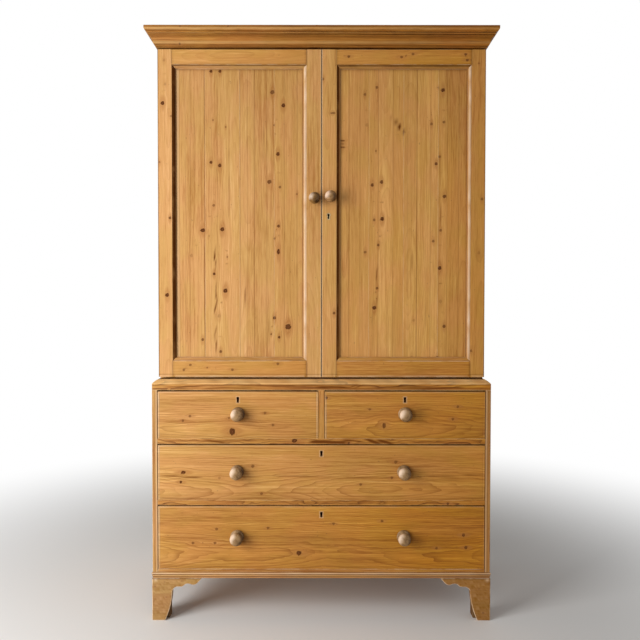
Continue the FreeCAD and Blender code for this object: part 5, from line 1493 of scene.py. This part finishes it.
CORNICE_STEPS = (0.015, 0.0012)     # along the cornice and up its profile
cornice_cuts = rows_along("cornice", Z, CORNICE_STEPS[1]) + rows_along("cornice", X, CORNICE_STEPS[0])
wooden_piece("cornice", CORNICE_PINE, arris=0.0005, cuts=cornice_cuts, tint=0.05, warmth=0.4,
             relief=cornice_relief)
wooden_piece("cupboard_sides", SIDE_PINE, arris=0.0012, chance=True)
wooden_piece("cupboard_top_and_bottom", SIDE_PINE, arris=0.001, tint=-0.15, warmth=0.4)
for node in ("drawer_runners", "drawer_stops", "shelf_bearers"):
    wooden_piece(node, BARE_PINE)
for node in ("chest_back", "chest_top", "cupboard_back", "cupboard_shelves"):
    wooden_piece(node, BARE_PINE, chance=True)
print("cupboard dressed")

# %% [markdown]
# The drawer knobs are turned from hardwood with the grain along the axis, so their domed faces
# show end grain: rings round a point beside the middle, and pores. The door knobs are balls,
# stained dark, and the right one is the more used. All are painted pale on the upper left as a
# painted highlight that is partly rubbed wood, and darker on the other side as painted shade.
# One finish serves all three, fed with other colours.

# %% Finishes of the knobs
# the side that gets the painted highlight, partly rubbed by hands; the far side gets painted shade
LIGHT_AND_HANDS_FROM = (-0.80, -0.45, 0.38)  # from the left, from the front and a little from above
RINGS_PER_METRE = 450.0
FINE_GRAIN = 0.0004
DULL_WOOD = 0.2


def hardwood_finish(name, pale, dark, rubbed, reach, roughness):
    """Turned wood: rings round a point beside the middle, one side painted pale as a highlight, partly
    rubbed, the other shaded.
    """
    material, shader, w = new_finish(name)
    own = w.add("ShaderNodeTexCoord").outputs["Object"]
    shift = w.math("MULTIPLY", w.add("ShaderNodeObjectInfo").outputs["Random"], 3.0)
    place = w.vector_math("ADD", own, w.joined(0.0, shift, 0.0)).outputs[0]
    x, _, z = w.parts(own)
    off_centre = w.joined(w.math("ADD", x, 0.012), 0.0, w.math("SUBTRACT", z, 0.017))
    wobble = w.noise(w.stretched(place, 90.0, 20.0, 90.0), 2.0)
    away = w.vector_math("LENGTH", off_centre).outputs["Value"]
    ring = w.math("FRACT", w.math("MULTIPLY_ADD", away, RINGS_PER_METRE, w.math("MULTIPLY", wobble, 1.5)))
    # a mottle for the wear and for the painted light and shade of a knob
    knob_shade_and_wear = w.noise(w.stretched(place, 60.0, 60.0, 60.0), 3.0, 0.6)
    pores = w.noise(w.stretched(place, 900.0, 90.0, 900.0), 1.0)
    tone = w.math("MULTIPLY_ADD", ring, -0.25, w.math("MULTIPLY_ADD", pores, 0.5, knob_shade_and_wear))
    # painted light: paler towards the window side, darker away from it
    towards = w.vector_math("DOT_PRODUCT", own, LIGHT_AND_HANDS_FROM).outputs["Value"]
    lit_and_rubbed_side = w.math("MULTIPLY_ADD", w.math("SUBTRACT", knob_shade_and_wear, 0.5), 0.4,
                          w.math("DIVIDE", towards, reach))
    tone = w.math("MULTIPLY_ADD", lit_and_rubbed_side, 0.28, w.math("SUBTRACT", tone, 0.12))
    colour = w.mix(w.fade(tone, 0.25, 0.95), (*dark, 1), (*pale, 1))
    colour = w.mix(w.math("MULTIPLY", w.fade(lit_and_rubbed_side, 0.8, 1.35), 0.75), colour, (*rubbed, 1))
    w.feed(shader.inputs["Base Color"], colour)
    w.feed(shader.inputs["Roughness"], w.math("MULTIPLY_ADD", knob_shade_and_wear, 0.3, roughness - 0.15))
    bump = w.add("ShaderNodeBump", Strength=0.35, Distance=FINE_GRAIN, Height=tone)
    w.feed(shader.inputs["Normal"], bump.outputs[0])
    shader.inputs["Specular IOR Level"].default_value = DULL_WOOD
    return material


# pale wood, dark wood, the painted highlight colour, partly wood rubbed by hands, how far the
# painted light reaches, and roughness
KNOB_WOOD = hardwood_finish("bare knob wood", (0.38, 0.23, 0.105), (0.10, 0.045, 0.012),
                            (0.80, 0.60, 0.44), 0.027, 0.36)
DARK_KNOB = hardwood_finish("dark knob", (0.26, 0.13, 0.035), (0.035, 0.013, 0.002),
                            (0.75, 0.62, 0.50), 0.026, 0.30)
RUBBED_KNOB = hardwood_finish("rubbed knob", (0.42, 0.23, 0.09), (0.06, 0.024, 0.005),
                              (0.80, 0.60, 0.46), 0.024, 0.33)
print("finishes:", len(bpy.data.materials))

# %% [markdown]
# A turned piece is an outline spun round an axis, which is what a lathe does. A sphere that is
# stretched could stand in for it, but it would have no foot and no neck. The outline is a row
# of pairs: how far in front of the wood, and how far from the axis.

# %% Turned knobs
TURNS = 96


def spun(name, outline, centre, finish, node):
    """Turns a piece round an axis that points at the viewer: (distance in front, radius) pairs."""
    turned = bmesh.new()
    rings = []
    for out, radius in outline:
        if radius == 0:
            rings.append([turned.verts.new((0, -out, 0))])
            continue
        angles = [math.tau * number / TURNS for number in range(TURNS)]
        rings.append([turned.verts.new((radius * math.cos(angle), -out, radius * math.sin(angle)))
                      for angle in angles])
    for inner, outer in zip(rings, rings[1:]):
        for number in range(TURNS):
            after = (number + 1) % TURNS
            if len(inner) == 1:
                corners = (inner[0], outer[after], outer[number])
            elif len(outer) == 1:
                corners = (inner[number], inner[after], outer[0])
            else:
                corners = (inner[number], inner[after], outer[after], outer[number])
            turned.faces.new(corners).smooth = True
    bmesh.ops.recalc_face_normals(turned, faces=turned.faces[:])
    mesh = bpy.data.meshes.new(name)
    turned.to_mesh(mesh)
    turned.free()
    mesh.materials.append(finish)
    stand_in(name, mesh, node, centre)


print("steps round a knob:", TURNS)

# %% [markdown]
# A drawer knob swells from its neck to a rim and ends in a low dome. A door knob is a ball on a
# short neck. Both outlines are made of curves and arcs that a turner could measure. Typing in
# every single point would do as well, but then no one could see what the shape is meant to be.

# %% Outlines of the knobs
def curve(start, end, steps, bulge):
    """Points from start to end of an outline, swelling outwards on the way."""
    points = []
    for number in range(1, steps + 1):
        share = number / steps
        swell = bulge * math.sin(math.pi * share)
        out = start[0] + (end[0] - start[0]) * share
        points.append((out, start[1] + (end[1] - start[1]) * share + swell))
    return points


def dome(start, end, radius):
    """The rounded face of a knob between two distances in front."""
    steps = [math.radians(angle) for angle in range(6, 90, 7)]
    return [(start + (end - start) * math.sin(step), radius * math.cos(step)) for step in steps] + [(end, 0)]


DRAWER_KNOB = ([(-0.02, 0), (-0.02, 0.008), (0, 0.008), (0, 0.0247), (0.0004, 0.0250), (0.0034, 0.0250)]
               + curve((0.0040, 0.0249), (0.0060, 0.0226), 4, 0.0003)
               + [(0.0064, 0.0205), (0.0080, 0.0175), (0.0110, 0.0154), (0.0150, 0.0149)]
               + curve((0.0180, 0.0155), (0.0300, 0.0226), 6, 0.0006)
               + [(0.0320, 0.0230)] + dome(0.0330, 0.0460, 0.0230))
DOOR_KNOB_OUT = 0.045
BALL = 0.0215
BALL_CENTRE = DOOR_KNOB_OUT - BALL
DOOR_KNOB = ([(-0.022, 0), (-0.022, 0.005), (0, 0.005), (0, 0.0127), (0.0004, 0.0130), (0.0022, 0.0130),
              (0.0030, 0.0122), (0.0031, 0.0085), (0.0040, 0.0077), (0.0055, 0.0075)]
             + [(BALL_CENTRE - BALL * math.cos(angle), BALL * math.sin(angle))
                for angle in [math.radians(step) for step in range(21, 180, 6)]]
             + [(DOOR_KNOB_OUT, 0)])
print("points on the outlines: %d and %d" % (len(DRAWER_KNOB), len(DOOR_KNOB)))

# %% [markdown]
# Each knob is turned at the place where the solid model has one, and a pair of knobs becomes
# two pieces that stand for the same node. The six on the drawers could share one mesh, which
# would be lighter. Turning each of them anew keeps the pieces apart, and it takes no time.

# %% Knobs
for node in [name for name, slot in SLOT_OF.items() if slot == "bare_knob_wood"]:
    for number, (x, z) in enumerate(knob_centres(node)):
        foot = (x, face_of("bottom_drawer_front"), z)
        spun("knob_%s_%d" % (node, number), DRAWER_KNOB, foot, KNOB_WOOD, node)
for node, finish in (("left_door_knob", DARK_KNOB), ("right_door_knob", RUBBED_KNOB)):
    for x, z in knob_centres(node):
        spun("knob_" + node, DOOR_KNOB, (x, face_of("left_door_stiles"), z), finish, node)
print("knobs turned")

# %% [markdown]
# The hinges, locks and the bolt are iron that has gone dark, with dull stains; the rim of the
# right door's keyhole is brass. They keep the shapes of the solid model, with a hair's breadth
# of bevel so that their edges catch the light. Behind a keyhole a lock would shine through, so
# what can be seen of it there is painted black as shade. A black disc over each hole would do
# the same, but it would be one more piece that the real press doesn't have.

# %% Metal
def metal_finish(name, colour, stain, roughness):
    """Old metal: bare in places, with dull stains that don't shine."""
    material, shader, w = new_finish(name)
    place = w.add("ShaderNodeTexCoord").outputs["Object"]
    mottle = w.fade(w.noise(place, 4.0, 0.65, 110.0), 0.42, 0.62)
    w.feed(shader.inputs["Base Color"], w.mix(mottle, (*colour, 1), (*stain, 1)))
    w.feed(shader.inputs["Metallic"], w.math("SUBTRACT", 1.0, w.math("MULTIPLY", mottle, 0.85)))
    w.feed(shader.inputs["Roughness"], w.math("MULTIPLY_ADD", mottle, 0.35, roughness, clamp=True))
    return material


IRON = metal_finish("dark iron", (0.035, 0.030, 0.026), (0.025, 0.014, 0.009), 0.5)
BRASS = metal_finish("old brass", (0.55, 0.42, 0.22), (0.20, 0.13, 0.06), 0.35)
# painted shade: the black of what shows through a keyhole
SHADE_IN_KEYHOLE = metal_finish("keyhole shade", (0.008, 0.006, 0.004), (0.012, 0.008, 0.005), 0.6)
KEYHOLE_HALF = (0.0062, 0.0125)
BEHIND_FACE = 0.0008
METAL_BEVEL = 0.0003
DOOR_KEY_POINT = (328, 215.7)   # of the right door's keyhole on the front view


def metal_piece(node, finish, keyhole=None):
    """A metal node with softened edges, and painted black shade on all that shows through its keyhole."""
    whole = bmesh.new()
    for part in boards_of(node):
        soften(part, METAL_BEVEL)
        mesh = bpy.data.meshes.new("part of " + node)
        part.to_mesh(mesh)
        part.free()
        whole.from_mesh(mesh)
        bpy.data.meshes.remove(mesh)
    mesh = bpy.data.meshes.new(node)
    whole.to_mesh(mesh)
    whole.free()
    mesh.polygons.foreach_set("use_smooth", [True] * len(mesh.polygons))
    mesh.materials.append(finish)
    if keyhole:
        mesh.materials.append(SHADE_IN_KEYHOLE)
        x, face, z = keyhole
        for polygon in mesh.polygons:
            middle, towards = polygon.center, polygon.normal.y
            by_hole = abs(middle.x - x) < KEYHOLE_HALF[0] and abs(middle.z - z) < KEYHOLE_HALF[1]
            if middle.y > face + BEHIND_FACE and (towards < -0.5 or (by_hole and towards < 0.5)):
                polygon.material_index = 1
    piece = stand_in("metal_" + node, mesh, node)
    keep_faces_flat(piece, keep_sharp=False)


KEYHOLES = {"right_door_lock": tuple(on_front(*DOOR_KEY_POINT, face_of("right_door_stiles")))}
for drawer in DRAWER_TONES:
    x, z = keyhole_in(drawer)[0]
    KEYHOLES[drawer + "_lock"] = (x, face_of(drawer + "_front"), z)
for node, slot in SLOT_OF.items():
    if slot in ("dark_iron", "old_brass"):
        metal_piece(node, BRASS if slot == "old_brass" else IRON, keyhole=KEYHOLES.get(node))
print("metal dressed")

# %% [markdown]
# The press stands on a plain pale floor. Near the press the floor is lit like anything else and
# keeps the shadow. Further off it fades into the white of the room, so that no line shows where
# the floor ends. The fade is only for what the camera and the gloss see: the light that the
# floor throws back stays true.

# %% Floor
WHITE = (1, 1, 1, 1)


def seen_by_camera(w):
    """1 for rays from the camera or through gloss and glass, 0 for light on its way."""
    path = w.add("ShaderNodeLightPath").outputs
    return w.math("MAXIMUM", path["Is Camera Ray"], w.math("MAXIMUM", path["Is Glossy Ray"],
                                                           path["Is Transmission Ray"]))


def floor_finish(name, colour, near, far):
    """A pale surface that fades to white between two distances from the middle."""
    material, shader, w = new_finish(name)
    shader.inputs["Base Color"].default_value = (*colour, 1)
    shader.inputs["Roughness"].default_value = 0.9
    shader.inputs["Specular IOR Level"].default_value = 0.2
    away = w.vector_math("LENGTH", w.add("ShaderNodeTexCoord").outputs["Object"]).outputs["Value"]
    share = w.math("MULTIPLY", w.fade(away, near, far), seen_by_camera(w))
    white = w.add("ShaderNodeEmission", Color=WHITE, Strength=1.0)
    joined = w.add("ShaderNodeMixShader")
    for socket, source in zip(joined.inputs, (share, shader.outputs[0], white.outputs[0])):
        w.feed(socket, source)
    w.feed(material.node_tree.nodes["Material Output"].inputs["Surface"], joined.outputs[0])
    return material


FLOOR_HALF = 12.0
floor_corners = [(-FLOOR_HALF, -FLOOR_HALF, 0), (FLOOR_HALF, -FLOOR_HALF, 0),
                 (FLOOR_HALF, FLOOR_HALF, 0), (-FLOOR_HALF, FLOOR_HALF, 0)]
floor_mesh = bpy.data.meshes.new("floor")
floor_mesh.from_pydata(floor_corners, [], [(0, 1, 2, 3)])
floor_mesh.materials.append(floor_finish("pale floor", (0.82, 0.81, 0.79), 0.9, 2.9))
floor = bpy.data.objects.new("floor", floor_mesh)
bpy.context.scene.collection.objects.link(floor)
print("floor laid")

# %% [markdown]
# The light is that of a room with one tall window on the left: an even light from all round
# and a large soft lamp. A small lamp would draw hard shadows, and a strong one would bleach
# the pale wood.

# %% Light
ROOM_LIGHT = 0.33
world = bpy.data.worlds.new("soft room")
bpy.context.scene.world = world
world.use_nodes = True
w = Wiring(world.node_tree)
background = world.node_tree.nodes["Background"]
w.feed(background.inputs["Strength"], w.math("MULTIPLY_ADD", seen_by_camera(w), 1 - ROOM_LIGHT, ROOM_LIGHT))
background.inputs["Color"].default_value = WHITE


def soft_lamp(name, place, target, size, power):
    """A rectangular lamp that looks at its target."""
    lamp = bpy.data.lights.new(name, "AREA")
    lamp.shape = "RECTANGLE"
    lamp.size, lamp.size_y = size
    lamp.energy = power
    holder = bpy.data.objects.new(name, lamp)
    holder.location = place
    holder.rotation_euler = (Vector(target) - Vector(place)).to_track_quat("-Z", "Y").to_euler()
    bpy.context.scene.collection.objects.link(holder)


WINDOW_SIZE = (1.4, 2.4)
WINDOW_POWER = 90
soft_lamp("window lamp", (-2.3, -1.9, 1.35), (-0.1, -0.25, 1.1), WINDOW_SIZE, WINDOW_POWER)
bpy.context.scene.view_settings.view_transform = "Standard"
print("light from all round:", ROOM_LIGHT)

# %% [markdown]
